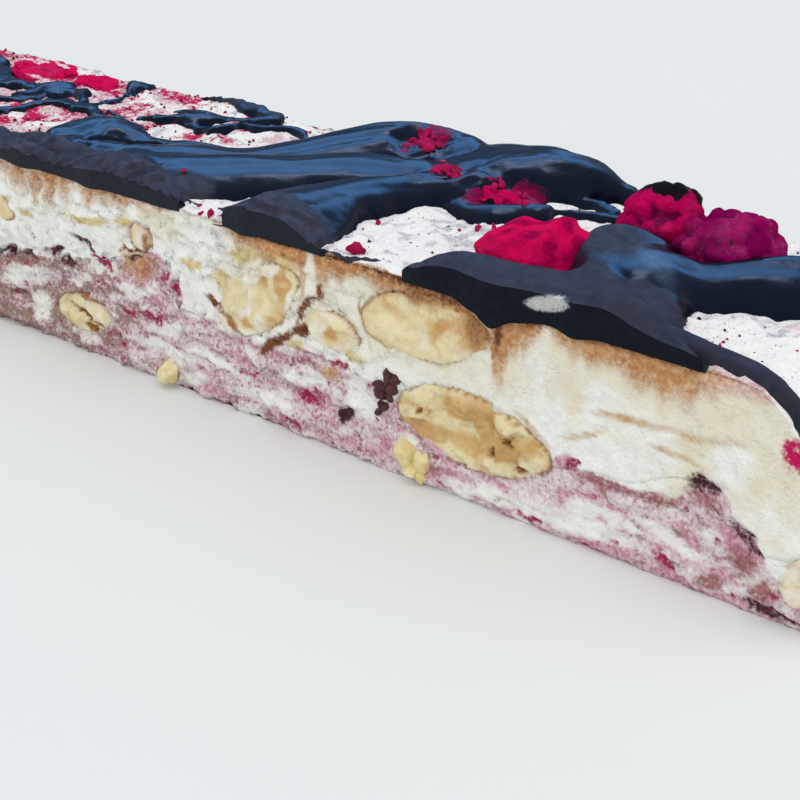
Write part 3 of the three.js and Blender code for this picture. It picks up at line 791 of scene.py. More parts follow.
# The side where the brown skin shows as a line, in degrees from the right, and the shares of gold and cream.
SKINNED = {"almond_01": 50, "almond_02": 235, "almond_03": 10, "almond_04": 60, "almond_05": 100}
GOLDEN = {"almond_01": 0.8, "almond_02": 0.35, "almond_03": 0.1, "almond_04": 0.1, "almond_05": 0.05,
          "almond_06": 0.4, "small_nut": 0.0}
SMEARED = {"almond_01": 0.3, "almond_02": 0.5, "almond_03": 1.6, "almond_04": 0.7, "almond_05": 0.6,
           "almond_06": 0.3, "small_nut": 0.7}
# How much each broke into small planes instead of being cut.
BROKEN = {"almond_01": 1.0, "almond_05": 0.9, "almond_06": 0.8}

# Waxy kernel: pale straw to gold, toasted in places, under flecks of nougat that the knife dragged over it.
almond_look = material(
    "cut_almond", ("#e6dcb8", "#dccd9c", 1.4), [
        ("golden", "#dabb80", "#cfa869", 1.6, 0.4, 0.5, 0.5),
        ("toast", "#d4ae74", "#c49860", 1.0, 0.5, 0.5, 0.4),
        ("flake", "#ede3bf", "#e3d5a4", 0.8, 0.8, 0.4, 0.55),
        ("smear", "#f1eee4", "#e6dcc6", 0.9, 0.7, 0.45, 0.7),
        ("skin", "#b08358", "#8c5e3c", 0.4, 0.2, 0.5, 0.6),
        ("pit", "#a4702a", "#704a1e", 0.4, 0.6, 0.4, 0.7)],
    0.5, [(0.7, 0.14), (0.22, 0.06)], specular=0.3)

# %% [markdown]
# A solid from the frame has large flat faces. For the almonds and the raspberries it is copied, merged and
# remeshed into small even faces, which can then carry relief.

# %% Fine copies of the solids
def copy_of(node_name, name, voxel):
    """A fresh, merged and finely remeshed copy of a CAD node."""
    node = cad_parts[node_name]
    piece = bpy.data.objects.new(name, node.data.copy())
    piece.data.name = name
    piece.data.transform(node.matrix_world)
    piece.data.materials.clear()
    bpy.context.collection.objects.link(piece)
    activate(piece)
    bpy.ops.object.mode_set(mode="EDIT")
    bpy.ops.mesh.select_all(action="SELECT")
    bpy.ops.mesh.remove_doubles(threshold=1e-6)
    bpy.ops.object.mode_set(mode="OBJECT")
    apply(piece, "REMESH", mode="VOXEL", voxel_size=voxel * MM)
    return piece


print("nuts to copy:", len(nut_names))

# %% [markdown]
# The cut face is roughened by torn ledges, by cracks and by the small planes into which a kernel splits
# ahead of the knife. All of these are calmer near the rim, where the nougat holds the kernel.

# %% Cut almonds
# The size in mm of the faces, and of the planes into which a kernel splits.
VOXEL, PLANE_SIZE = 0.28, 1.9


def broken_planes(points, rng):
    """Heights in mm of small tilted planes."""
    count = max(6, round(len(points) * (VOXEL / PLANE_SIZE) ** 2))
    seeds = points[rng.choice(len(points), count, replace=False)]
    away = points[:, None] - seeds[None]
    nearest = np.argmin((away ** 2).sum(axis=2), axis=1)
    away = away[np.arange(len(points)), nearest]
    tilts = rng.normal(0, 0.2, (count, 3))
    return (away * tilts[nearest]).sum(axis=1) + rng.uniform(-0.2, 0.2, count)[nearest]


def skin_line(points, facing, inward, degrees, shift):
    """Brown skin along that side of the rim."""
    away = points - points.mean(axis=0)
    away -= (away @ facing)[:, None] * facing
    turn = radians(degrees)
    skin_side = np.array([abs(facing[1]) * cos(turn), abs(facing[0]) * cos(turn), sin(turn)])
    towards = away @ skin_side / np.maximum(np.linalg.norm(away, axis=1), 1e-6)
    return 0.8 * ease(0.5, 0.1, inward) * ease(-0.3, 0.5, towards + waves(points, 1.4, 2.0, 2, 37.0 + shift))


for number, name in enumerate(nut_names):
    piece = copy_of(name, name + "_cut", VOXEL)
    apply(piece, "SMOOTH", factor=0.5, iterations=5)
    facing, shift = cut_face(name), 3.7 * number
    points, normals = read(piece), read(piece, "normal")
    inward = np.array([rim_tree.find(point)[2] for point in points * MM]) / MM
    uneven = warped(points, 1.4, 0.6)
    toast, pit, flake, peel = (spots(uneven[:, 0], uneven[:, 2], places.get(name, ()))
                               for places in (TOASTED, PITTED, FLAKED, PEELED))
    smear = ease(0.8, -0.4, inward - waves(points, 3.6, 2.4, 2, 39.0 + shift))
    smear = np.maximum(smear, patches(points, (2.0, 2.0, 3.0), 3, 38.0 + shift, 0.48, 0.62))
    smear *= SMEARED.get(name, 1.0)
    skin = skin_line(points, facing, inward, SKINNED.get(name, 60 * number), shift)
    torn = lumps(points, (4.0, 4.0, 1.8), 3, 31.0 + shift)
    crack = bell(waves(points, 1, 3.4, 2, 36.0 + shift), 0.014) * patches(points, 3, 1, shift, 0.4, 0.6)
    grow = 0.2 * (ease(0.0, 0.8, np.modf(4 * torn)[0]) - 0.4) + waves(points, 0.3, 1.4, 2, shift)
    grow += BROKEN.get(name, 0.5) * broken_planes(uneven, np.random.default_rng(SEED + 70 + number))
    grow += 0.25 * flake - 0.5 * pit - 0.15 * crack - 0.1 * ease(1.0, 0.0, inward)
    grow += smear * (0.1 + waves(points, 0.4, 1.0, 2, 41.0))
    grow *= 0.2 + 0.8 * ease(0.0, 1.0, inward)
    on_face = ease(-0.1, 0.4, normals @ facing)
    write(piece, points + facing * (grow * on_face)[:, None])
    apply(piece, "SMOOTH", factor=0.5, iterations=1)
    golden = GOLDEN.get(name, 0.5 * (number % 3) / 2)
    browned = 0.4 * patches(points, 2.2, 3, 35.0 + shift, 0.55, 0.75)
    paint(piece, golden=golden * (0.5 + lumps(points, 4, 2, 33.0 + shift)), pit=pit,
          flake=np.maximum(flake, 0.7 * ease(0.5, 0.7, torn)), smear=smear * (1 - 0.6 * toast),
          toast=np.maximum(toast, browned), skin=np.max([skin, 0.9 * peel, 0.4 * crack], axis=0))
    piece.data.materials.append(almond_look)
    finish(piece, "small_nut" if name == "small_nut" else "almond", name)

# %% [markdown]
# The chocolate was piped in ribbons and thin strands that ran into each other before they set, and the knife
# then cut the bar with the chocolate on it.

# %% Where the chocolate lies
# Stations of x, y, half width and height; the first number says how many ridges run along the ribbon.
RIBBONS = {
    "near_left": (1, [
        (-38, -14, 1.6, 1.5), (-26, -14, 3.0, 2.2), (-14, -13.8, 3.2, 2.6), (-4, -14, 3.0, 2.5),
        (3, -15, 1.4, 1.8)]),
    "back_sweep": (3, [
        (-20, -11.5, 2.6, 1.8), (-7, -8.6, 3.2, 2.4), (1, -2.2, 3.8, 2.5), (7, 5.4, 4.4, 3.4),
        (12.5, 10.6, 3.8, 4.5), (17.5, 12.8, 2.6, 3.6)]),
    "middle_sweep": (2, [
        (-8, -14, 3.5, 1.9), (-1, -10.5, 4.2, 2.7), (5, -5, 4.2, 3.0), (13, 1.2, 3.8, 3.2),
        (18.5, 4, 2.8, 2.8)]),
    "near_middle": (2, [
        (15.2, -20, 5.6, 2.7), (16.4, -11, 5.4, 3.1), (17.8, -4.5, 3.1, 3.1), (20.8, 1.4, 2.3, 2.7),
        (27, 7.6, 3.4, 3.4)]),
    "back_hump": (2, [
        (16.5, 12.8, 2.4, 2.6), (22, 11.4, 4.0, 4.2), (28.5, 11, 4.2, 4.8), (33.4, 13.2, 2.6, 4.0),
        (36.8, 14.3, 1.3, 1.8)]),
    "near_right": (1, [
        (33.8, -15, 1.6, 1.6), (36, -15, 4.0, 2.7), (39, -15, 5.4, 3.2), (43, -15, 6.2, 3.4),
        (48, -15, 6.6, 3.8), (53, -15, 5.0, 3.5), (57.4, -15, 2.2, 2.0), (61.5, -15.6, 1.0, 1.0)]),
    "right_hump": (0, [
        (53, -11, 4.6, 2.8), (51, -7.2, 5.4, 3.8), (49.2, -4.6, 5.8, 4.4), (48.6, -3.2, 5.2, 4.4)]),
    "hump_rim": (0, [
        (50.4, -10.4, 1.8, 2.6), (47.6, -6.6, 2.0, 3.7), (45.0, -3.8, 1.9, 4.2), (46.6, -2.0, 1.8, 4.1),
        (50, -2.2, 1.8, 3.9)]),
    "right_tail": (1, [
        (50, -7, 4.0, 3.4), (55, -3.2, 3.3, 3.6), (62, 2, 3.5, 3.8), (68.5, 5, 3.0, 3.2),
        (73, 6, 2.4, 2.2)]),
    "over_corner": (0, [
        (55, -13.2, 1.7, 1.7), (60.5, -13.2, 0.9, 1.3), (65, -13.2, 0.9, 1.2), (68.5, -13.7, 0.9, 1.1),
        (71.4, -14.2, 0.8, 0.9)]),
    "round_berry": (0, [
        (25.5, 1.6, 0.8, 0.9), (31, 4.3, 0.6, 0.8), (36, 7.6, 0.6, 0.8), (39.5, 8.4, 0.7, 1.0)]),
    "berry_bed": (1, [
        (15, 8.8, 3.0, 2.2), (20, 6.2, 3.2, 2.2), (25, 3.8, 3.0, 2.2), (29.5, 3.9, 3.2, 2.2),
        (32.5, 5.2, 1.8, 1.6)]),
    "berry_arch": (0, [(31.5, 9, 0.5, 0.7), (35, 10.2, 0.6, 0.8), (38.6, 9.6, 0.7, 1.0)]),
    "left_loop": (0, [
        (-19.6, -12, 1.8, 1.0), (-21, -6.6, 3.6, 2.1), (-17.6, -3.6, 2.8, 1.8), (-12, -3.0, 1.2, 1.2),
        (-2, 0.2, 0.7, 1.0)]),
    "left_arch": (0, [
        (-34, -14, 1.2, 1.0), (-33.4, -2.2, 0.8, 1.1), (-29, 1.5, 0.8, 1.1), (-22, -1, 0.7, 0.9)]),
    "left_curl": (0, [
        (-31, 2.5, 0.7, 0.9), (-34.5, 5, 1.4, 1.3), (-37.4, 3.6, 2.6, 1.9), (-39.5, 0.5, 0.7, 0.9)]),
    "crossing": (0, [(-28.5, 2.5, 0.55, 0.8), (-29.6, 8, 0.6, 0.8), (-31, 12, 2.0, 1.8)]),
    "back_line": (0, [
        (-31, 8.6, 0.5, 0.7), (-24, 8.5, 0.6, 0.8), (-17, 9.5, 0.7, 0.9), (-9, 12.8, 1.0, 1.2)]),
    "back_branch": (0, [
        (-26, 2.4, 0.6, 0.8), (-20.8, 4.3, 0.7, 0.9), (-16, 6.2, 1.3, 1.3), (-13.5, 9.5, 0.8, 1.0)]),
    "back_edge": (0, [
        (-24.5, 14.8, 0.5, 0.9), (-20.5, 14.7, 0.6, 1.1), (-16, 14.4, 1.2, 1.7), (-9.5, 13.4, 0.7, 1.2)]),
    "back_wave": (0, [
        (-17, 5.6, 0.5, 0.7), (-12, 4.8, 0.6, 0.8), (-9.5, 8.0, 0.7, 0.9), (-3, 9.8, 0.6, 0.9),
        (3, 6.5, 0.6, 0.8)]),
    "behind_berry": (0, [
        (-56, 9.8, 1.0, 1.2), (-50, 6.4, 1.2, 1.3), (-44.5, 3, 1.0, 1.1), (-39, 3, 1.0, 1.0)]),
    "end_arch": (0, [(-72, -8, 1.4, 1.4), (-67, 3, 2.2, 2.0), (-61, 9, 1.8, 1.8), (-54, 8.6, 1.2, 1.3)]),
    "end_diagonal": (0, [
        (-71, -20, 3.2, 1.8), (-60, -9, 2.4, 2.0), (-52, -3, 1.6, 1.6), (-43, 3, 1.0, 1.1)]),
    "left_diagonal": (0, [
        (-52, -20, 2.8, 1.8), (-46, -9, 2.0, 2.0), (-41, -4, 1.2, 1.3), (-36.5, 1, 0.9, 1.0)]),
    "near_link": (0, [(-60, -9, 0.9, 1.0), (-48, -11, 1.0, 1.0), (-36, -13.8, 1.3, 1.1)]),
    "near_thread": (0, [(21.6, -15.2, 0.5, 0.6), (25.4, -14.4, 0.36, 0.5), (29.4, -13.5, 0.34, 0.45)]),
    "gap_thread": (0, [(2, -13.8, 0.6, 0.6), (6, -12.4, 0.6, 0.6), (11, -10.6, 0.7, 0.8)]),
}
print("ribbons:", len(RIBBONS))

# %% [markdown]
# How thick the chocolate lies at any place follows from how near the ribbons pass. Where ribbons touch, they
# blend, and each one lies lower on the side where it sagged.

# %% How thick the chocolate lies
ROUTE_STEPS = 90
# How sharply ribbons blend, how high their ridges are as a share of the ribbon, and how and where they sag.
BLEND, RIDGE = 3, 0.018
LEAN, LEANS_TO = 0.5, np.array([0.70, -0.71])


def smooth_route(stations, count):
    """A smooth curve through the stations."""
    knots = np.array(stations, float)
    knots = np.vstack([2 * knots[0] - knots[1], knots, 2 * knots[-1] - knots[-2]])
    along = np.linspace(0, len(stations) - 1, count)
    start = np.minimum(along.astype(int), len(stations) - 2)
    part = (along - start)[:, None]
    a, b, c, d = (knots[start + k] for k in range(4))
    bent = (2 * a - 5 * b + 4 * c - d) * part ** 2 + (3 * b - a - 3 * c + d) * part ** 3
    return 0.5 * (2 * b + (c - a) * part + bent)


def chocolate_over(x, y):
    """How thick the chocolate lies at each x and y, in mm."""
    total = np.zeros(len(x))
    for number, (ridges, stations) in enumerate(RIBBONS.values()):
        route = smooth_route(stations, ROUTE_STEPS)
        heading = np.gradient(route[:, :2], axis=0)
        heading /= np.linalg.norm(heading, axis=1, keepdims=True)
        margin = route[:, 2].max() * 1.2
        (x0, y0), (x1, y1) = route[:, :2].min(axis=0) - margin, route[:, :2].max(axis=0) + margin
        close = np.flatnonzero((x > x0) & (x < x1) & (y > y0) & (y < y1))
        away = np.stack([x[close], y[close]], axis=1)[:, None] - route[None, :, :2]
        nearest = np.argmin((away ** 2).sum(axis=2), axis=1)
        away = away[np.arange(len(close)), nearest]
        sideways = np.stack([-heading[nearest, 1], heading[nearest, 0]], axis=1)
        across = (sideways * away).sum(axis=1) / route[nearest, 2]
        outside = np.linalg.norm(away, axis=1) / (1.06 * route[nearest, 2])
        ripple = np.cos(pi * (ridges + 1) * across + 5 * nearest / ROUTE_STEPS + number)
        ripple = 1 + RIDGE * (ridges > 0) * ripple
        body = np.maximum(0, 1 - outside ** 3.4) ** 0.65
        leaning = np.clip(-2 * sideways @ LEANS_TO, -1, 1) * np.clip(across, -1, 1)
        leaning = 1 - LEAN / 2 + LEAN / 2 * leaning
        total[close] += (body * ripple * leaning * route[nearest, 3]) ** BLEND
    return total ** (1 / BLEND)


print("thickness at the middle of the bar in mm:", chocolate_over(np.zeros(1), np.zeros(1)))

# %% [markdown]
# The sheet of chocolate is a flat block laid over the bar from end to end. Where ribbons run, its upper face
# rises by their thickness; elsewhere it dives under the powder, so the edge of the chocolate is wherever the
# two meet. At the sides the block ends in the knife's plane and shows its cut face.

# %% The sheet of chocolate
SHEET_REACH, SLOPE_STEPS = 73.0, 2000
# How far the sheet dives where no ribbon runs, and how deep its foot is in the nougat, in mm.
DIVE, FOOT = 0.7, 0.6
# Drips at the near side: x, depth and half width in mm. Hollows: x, y, half sizes and tilt.
DRIPS = [(39.8, 0.5, 1.4), (42.4, 1.5, 1.5), (45.0, 0.4, 1.6), (50.4, 0.4, 1.4), (-9, 0.3, 2.0),
         (13, 0.3, 1.6), (-20, 0.3, 2.5)]
HOLLOWS = [(14.0, 10.8, 3.0, 2.2, 60), (29.0, 5.2, 4.4, 2.2, 35), (22.2, 5.0, 2.2, 1.5, 50)]
chocolate = divided_cube("piped_chocolate", [(ALONG, 20), (ALONG, 20), (ACROSS, 109), (UP, 9)])
unit = read(chocolate) * MM
x, y, upper = unit[:, 0] * SHEET_REACH, unit[:, 1] * FAR, (unit[:, 2] + 1) / 2
edge_on, from_cut = np.abs(unit[:, 1]) > ON_FACE, FAR - np.abs(y)
flat = np.stack([x, y, np.zeros_like(x)], axis=1)
# Towards the left the ribbons are thinner and more ragged.
ragged = ease(0, -14, x)
wander = warped(flat, 3.5, 0.5) + ragged[:, None] * (warped(flat, 1.6, 0.9) - flat)
thick = chocolate_over(wander[:, 0], wander[:, 1])
thick *= 1 - ragged * (0.25 + waves(flat, 0.7, 4, 2, 42.0)) * ease(2.2, 1.2, thick)
# Soft waves everywhere, broken ledges near the cut, and hollows where raspberry shows through.
thick += ease(0, 0.4, thick) * (waves(flat, 0.7, 6, 1, 41.0) + waves(flat, 0.04, 1.6, 2, 43.0))
ledges = ease(0.3, 0.9, np.modf(4 * lumps(flat, (4, 2.5, 4), 2, 44.0))[0]) - 0.5
thick += 0.4 * ledges * ease(5, 2, from_cut) * ease(0.3, 1.0, thick) * ease(32, 24, x) * (y < 0)
hollow = spots(wander[:, 0], wander[:, 1], HOLLOWS)
thick += hollow * ease(0.5, 1.5, thick) * (waves(flat, 2.6, 2.2, 3, 46.0) - 0.5)
# The knife rounded the upper edge a little, and at some places the chocolate ran down over the side.
thick *= 1 - 0.12 * (1 - ease(0, 1.0, from_cut)) ** 2
thick *= ease(SHEET_REACH - 0.2, SHEET_REACH - 3.2, np.abs(x) + waves(flat, 2, 2.5, 2, 48.0))
present = ease(0.0, 0.55, thick)
rise = mound(x, y) + thick - DIVE * (1 - present)
drip = sum(depth * bell(x - at, reach) for at, depth, reach in DRIPS) * (y < NEAR + TOUCH)
# The foot in the nougat is shallower at the cut, and shallowest where the chocolate thins out at the right.
foot = FOOT - 0.3 * present * edge_on + drip
foot *= 1 - 0.7 * bell(thick - 0.4, 0.25) * ease(54, 57, x)
lift = upper * rise - (1 - upper) * foot
# Over the round of an end the sheet rises at right angles to the bar's surface.
stations = np.linspace(-SHEET_REACH, SHEET_REACH, SLOPE_STEPS)
slope = np.interp(x, stations, np.gradient(surface_at(stations), stations))
steep = np.sqrt(1 + slope ** 2)
points = np.stack([x - slope / steep * lift, y, surface_at(x) + lift / steep], axis=1)
# Where no chocolate reaches the knife's plane, the block's edge stays inside the nougat.
kept_back = 1.2 * (1 - ease(0.15, 0.45, thick)) - 0.1 - 0.7 * np.minimum(drip, 1)
points[:, 1] = np.where(edge_on, np.sign(y) * (FAR - kept_back), y)
write(chocolate, points)
paint(chocolate, cut=edge_on)
print("thickest chocolate in mm:", round(thick.max(), 2))

# %% [markdown]
# The underside lies in the nougat where nobody sees it, so its fine faces are taken out and one plain face
# closes the sheet.

# %% A plain underside
activate(chocolate)
bpy.ops.object.mode_set(mode="EDIT")
bpy.ops.mesh.select_mode(type="FACE")
sheet = bmesh.from_edit_mesh(chocolate.data)
for face in sheet.faces:
    face.select_set(face.normal.z < -0.7)
bmesh.update_edit_mesh(chocolate.data)
bpy.ops.mesh.delete(type="FACE")
bpy.ops.mesh.select_mode(type="EDGE")
bpy.ops.mesh.select_all(action="DESELECT")
bpy.ops.mesh.select_non_manifold()
bpy.ops.mesh.edge_face_add()
bpy.ops.object.mode_set(mode="OBJECT")
print("faces of the sheet:", len(chocolate.data.polygons))

# %% [markdown]
# Where it was left alone, the chocolate set with a gloss. Next to the cut it is dull and greyer, because the
# knife warmed it and fat bloomed, and the cut face itself is a dull slate.

# %% Gloss, bloom, a painted highlight and the cut face
# Places of a dull hump, a blue-grey painted highlight on the hump (x, y) and a pale chip on the near face (x,
# z), as ellipses.
DULL_HUMP, BLOOM, CHIP = (46.6, -4.4, 4.2, 3.4, -50), (52.0, -5.6, 3.6, 1.3, -38), (47.7, 21.6, 2.2, 0.7, 13)
points = read(chocolate)
x, y, z = points.T
to_right = ease(30, 36, x)
lip_reach = np.where(y > 0, 2.2, 5.0 + 2.2 * ease(28, 36, x))
lip = ease(lip_reach, lip_reach - 2.5, FAR - np.abs(y) + waves(points, 5, 3.0, 3, 45.0))
slate = lip * to_right
lip = np.maximum(lip, 0.8 * spot(x, y, *DULL_HUMP))
pale = patches(points, (2.0, 1.0, 1.0), 3, 47.0, 0.62, 0.75) * lip * ease(30, 24, x)
shown_berry = spots(x, y, HOLLOWS) * patches(points, 1.8, 3, 46.5, 0.52, 0.42)
# A soft blue-grey streak of painted highlight lies along the hump, where its gloss would catch the light.
bloom = spot(x, y, *BLOOM) * (0.05 + 0.45 * lumps(points, 3, 2, 49.0))
chip = spot(x, z, *CHIP) * (y < NEAR + 0.6)
paint(chocolate, slate=slate, deep=to_right, lip=lip, pale=pale, berry=shown_berry, bloom=bloom, chip=chip)

CHIP_COAT = ("chip", "#c6c8c6", "#a8aaa8", 0.4, 0.9, 0.3, 0.7)
# Dark chocolate: almost black under a clear gloss, greyer and dull where fat bloomed next to the cut, with a
# blue-grey highlight painted on the hump.
chocolate.data.materials.append(material(
    "dark_chocolate", ("#060912", "#090c16", 3.0), [
        ("lip", "#3a3c46", "#2c2d36", 1.4, 0.8, 0.45, 0.75),
        ("slate", "#32333c", "#292a33", 1.4, 0.5, 0.5, 0.7),
        ("pale", "#3d3b46", "#302e38", 0.5, 0.8, 0.4, 0.6),
        ("bloom", "#74879c", "#5d7086", 1.0, 0.3, 0.5, 0.4),
        ("berry", "#8e0846", "#5a0432", 0.6, 0.8, 0.25, 0.6), CHIP_COAT],
    0.24, [(1.4, 0.04), (0.3, 0.01)], specular=0.2, gloss="#9cc0ff"))
# The cut face is dull slate: the knife smeared the fat into a grey film.
chocolate.data.materials.append(material(
    "cut_chocolate", ("#181e2b", "#121722", 0.8), [
        ("deep", "#141924", "#0f131c", 0.8, 0.4, 0.5, 0.6), CHIP_COAT],
    0.55, [(0.5, 0.12), (0.2, 0.04)], specular=0.15))
cut = np.empty(len(points))
chocolate.data.attributes["cut"].data.foreach_get("value", cut)
for face in chocolate.data.polygons:
    face.material_index = int(cut[list(face.vertices)].min() > 0.5)
finish(chocolate, "chocolate", "chocolate")
activate(chocolate)
bpy.ops.object.shade_smooth_by_angle(angle=radians(50))
glossy.objects.link(chocolate)

# %% [markdown]
# Freeze-dried raspberries keep the beads of the fruit, shrunk and wrinkled, with pale frosting on the crests
# that is lightened as a painted highlight where they face up, and painted shade between the beads.
# The one at the near side is a slice with a smooth, bright red face. Two at the left are crushed low.

# %% What the raspberries look like
# For each: how dark and purple it is, the beads' size and relief in mm, and its share of frosting with
# painted highlight.
BERRIES = {
    "raspberry_tall": (0.55, 1.25, 0.7, 0.2), "raspberry_wide": (0.95, 1.15, 0.85, 0.35),
    "raspberry_middle": (0.0, 2.2, 0.22, 0.0), "raspberry_left": (0.15, 0.8, 0.5, 0.35),
    "raspberry_flake": (0.15, 0.8, 0.5, 0.35), "raspberry_tail": (0.3, 1.5, 0.5, 0.6),
    "raspberry_end": (0.0, 1.2, 0.2, 0.1), "raspberry_bit_left": (0.3, 0.9, 0.4, 0.8),
    "raspberry_bit_middle": (0.3, 0.9, 0.4, 0.8), "raspberry_bit_right": (0.35, 0.9, 0.4, 0.8)}
SLICE, DIPPED_ONE, CRUSHED = "raspberry_middle", "raspberry_tall", ("raspberry_left", "raspberry_flake")
# Chocolate on the crest of the tall one: x, y, half sizes, tilt.
DIPPED = [(44.6, 5.4, 1.5, 1.1, 40), (47.3, 6.6, 1.7, 1.1, 10), (49.4, 6.4, 1.0, 0.5, -20)]

# Dried fruit: saturated crimson to purple, matte, with a pale bloom of frosting in patches that is also a
# painted highlight, and painted shade between the beads.
dried_raspberry = material(
    "dried_raspberry", ("#e2005a", "#ca0052", 1.6), [
        ("purple", "#8a0458", "#6c0448", 1.2, 0.5, 0.5, 0.8),
        ("valley", "#7c0345", "#5c0238", 0.6, 0.5, 0.5, 0.8),
        ("frost", "#b8337a", "#c85c94", 0.5, 0.9, 0.5, 0.9),
        ("sugar", "#f2e6ec", "#e3a9c2", 0.7, 1.0, 0.35, 0.9),
        ("chocolate", "#1a161d", "#100d13", 0.8, 0.5, 0.2, 0.35)],
    0.7, [(0.7, 0.3), (0.25, 0.14)], specular=0.06)

# %% [markdown]
# The beads sit at points spread over the surface of the solid, and wrinkles run over them. A fine copy of
# each solid is moved along its normals by both.

# %% Raspberries
BERRY_VOXEL = 0.2
# The share of its height that a crushed one and a small bit kept, and the middle of the slice in y and z.
CRUSHED_TO, BIT_TO = 0.6, 0.75
SLICE_Y, SLICE_Z = -6.4, 21.8


def beads(points, uneven, size, rng):
    """1 on the crest of each bead, 0 between them; the beads sit a little more than their size apart."""
    seeds = [points[rng.integers(len(points))]]
    away = np.linalg.norm(points - seeds[0], axis=1)
    while away.max() > 1.35 * size:
        seeds.append(points[away.argmax()])
        away = np.minimum(away, np.linalg.norm(points - seeds[-1], axis=1))
    reaches = size * rng.uniform(0.85, 1.35, len(seeds))
    away = [np.linalg.norm(uneven - seed, axis=1) / reach for seed, reach in zip(seeds, reaches)]
    return np.clip(1 - np.min(away, axis=0) ** 2, 0, 1) ** 0.7


for number, (name, (purple, bead_size, relief, frosting)) in enumerate(BERRIES.items()):
    is_bit, is_slice, is_crushed = "bit" in name, name == SLICE, name in CRUSHED
    piece = copy_of(name, name + "_dried", BERRY_VOXEL)
    apply(piece, "SMOOTH", factor=0.5, iterations=16)
    points, normals = read(piece), read(piece, "normal")
    x, z = points[:, 0], points[:, 2]
    uneven = warped(points, 1.3, 0.35)
    bead = beads(points, uneven, bead_size, np.random.default_rng(SEED + 40 + number))
    wrinkles = waves(points, 1, 1.1, 3, 51.0 + number)
    grow = relief * (bead - 0.5) + 0.7 * wrinkles * min(1, 2 * relief) + waves(points, 0.8, 3, 2, number)
    if is_slice:
        grow += waves(points, 0.5, (4.0, 0.9, 0.9), 2, 52.0)
    if is_bit:
        grow += 1.6 * (np.abs(2 * lumps(points, 2.2, 2, 53.0) - 1) - 0.4)
    moved = points + normals * grow[:, None]
    lowered = CRUSHED_TO if is_crushed else BIT_TO if is_bit else 1.0
    moved[:, 2] = HEIGHT + (moved[:, 2] - HEIGHT) * lowered
    if is_slice:
        # Its right end is blunt, and its left end is shorter and lower than the solid's.
        blunt, left = 1 + 0.9 * ease(40.5, 45, x), ease(39, 34.5, x)
        moved[:, 1] = SLICE_Y + (moved[:, 1] - SLICE_Y) * blunt
        moved[:, 2] = SLICE_Z + (moved[:, 2] - SLICE_Z) * blunt
        moved[:, 0] -= 0.2 * ease(42, 46, x) + 0.9 * left
        moved[:, 2] -= 0.9 * left * ease(20, 23, z)
    # The foot is pressed into the powder.
    moved[:, 2] -= 1.2 * ease(21.0, 20.3, z) * (name != "raspberry_end")
    write(piece, moved)
    fibres = patches(points, (3.0, 0.8, 0.8), 3, 56.0, 0.45, 0.7) * is_slice
    coated = 0.0
    if name == DIPPED_ONE:
        coated = spots(uneven[:, 0], uneven[:, 1], DIPPED) * ease(23.2, 24.2, z)
        coated = np.maximum(coated, ease(z.max() - 0.45, z.max() - 0.2, z + 1.6 * wrinkles))
    if is_bit:
        coated = ease(22.0, 21.4, z + waves(points, 2.0, 1.6, 2, 54.0))
    # Frost shows only on faces that look up: real frosting and a painted highlight in one.
    frost = frosting * patches(points, 2.0, 3, 57.0 + number, 0.35, 0.75) * ease(-0.3, 0.5, normals[:, 2])
    # Darker between the beads is painted shade; on the slice the same coat draws its fibres.
    paint(piece, purple=purple * (0.5 + lumps(points, 2.5, 2, 55.0 + number)), frost=frost, chocolate=coated,
          valley=np.maximum(min(1, 1.6 * relief) * ease(0.45, 0.05, bead), 0.55 * fibres),
          sugar=0.9 * patches(points, (3.6, 1.1, 1.1), 3, 59.0, 0.53, 0.68) * is_crushed)
    piece.data.materials.append(dried_raspberry)
    finish(piece, "raspberry", name)

# %% [markdown]
# Cutting and sprinkling left crumbs. Each kind is one piece: a ball, broken to flat facets and dented, is
# repeated at seeded places, each time in another form. On the bar, it is dropped onto whatever lies below.

# %% How a crumb is made
FACETS = 14
# Directions spread evenly over a ball along a spiral.
steps = np.arange(FACETS)
turns, heights = steps * pi * (3 - 5 ** 0.5), 1 - (2 * steps + 1) / FACETS
around = np.sqrt(1 - heights ** 2)
SPREAD = np.stack([np.cos(turns) * around, np.sin(turns) * around, heights], axis=1)
bpy.context.view_layer.update()
depsgraph = bpy.context.evaluated_depsgraph_get()
ground_trees = [BVHTree.FromObject(piece, depsgraph) for piece in (cream, chocolate)]


def dropped(x, y):
    """The height in mm of whatever lies highest at x and y, and whether that is chocolate."""
    heights = []
    for tree in ground_trees:
        hit = tree.ray_cast(Vector((x, y, 60)) * MM, Vector((0, 0, -1)))[0]
        heights.append(hit.z / MM if hit else 0.0)
    return max(heights), heights[1] > heights[0]


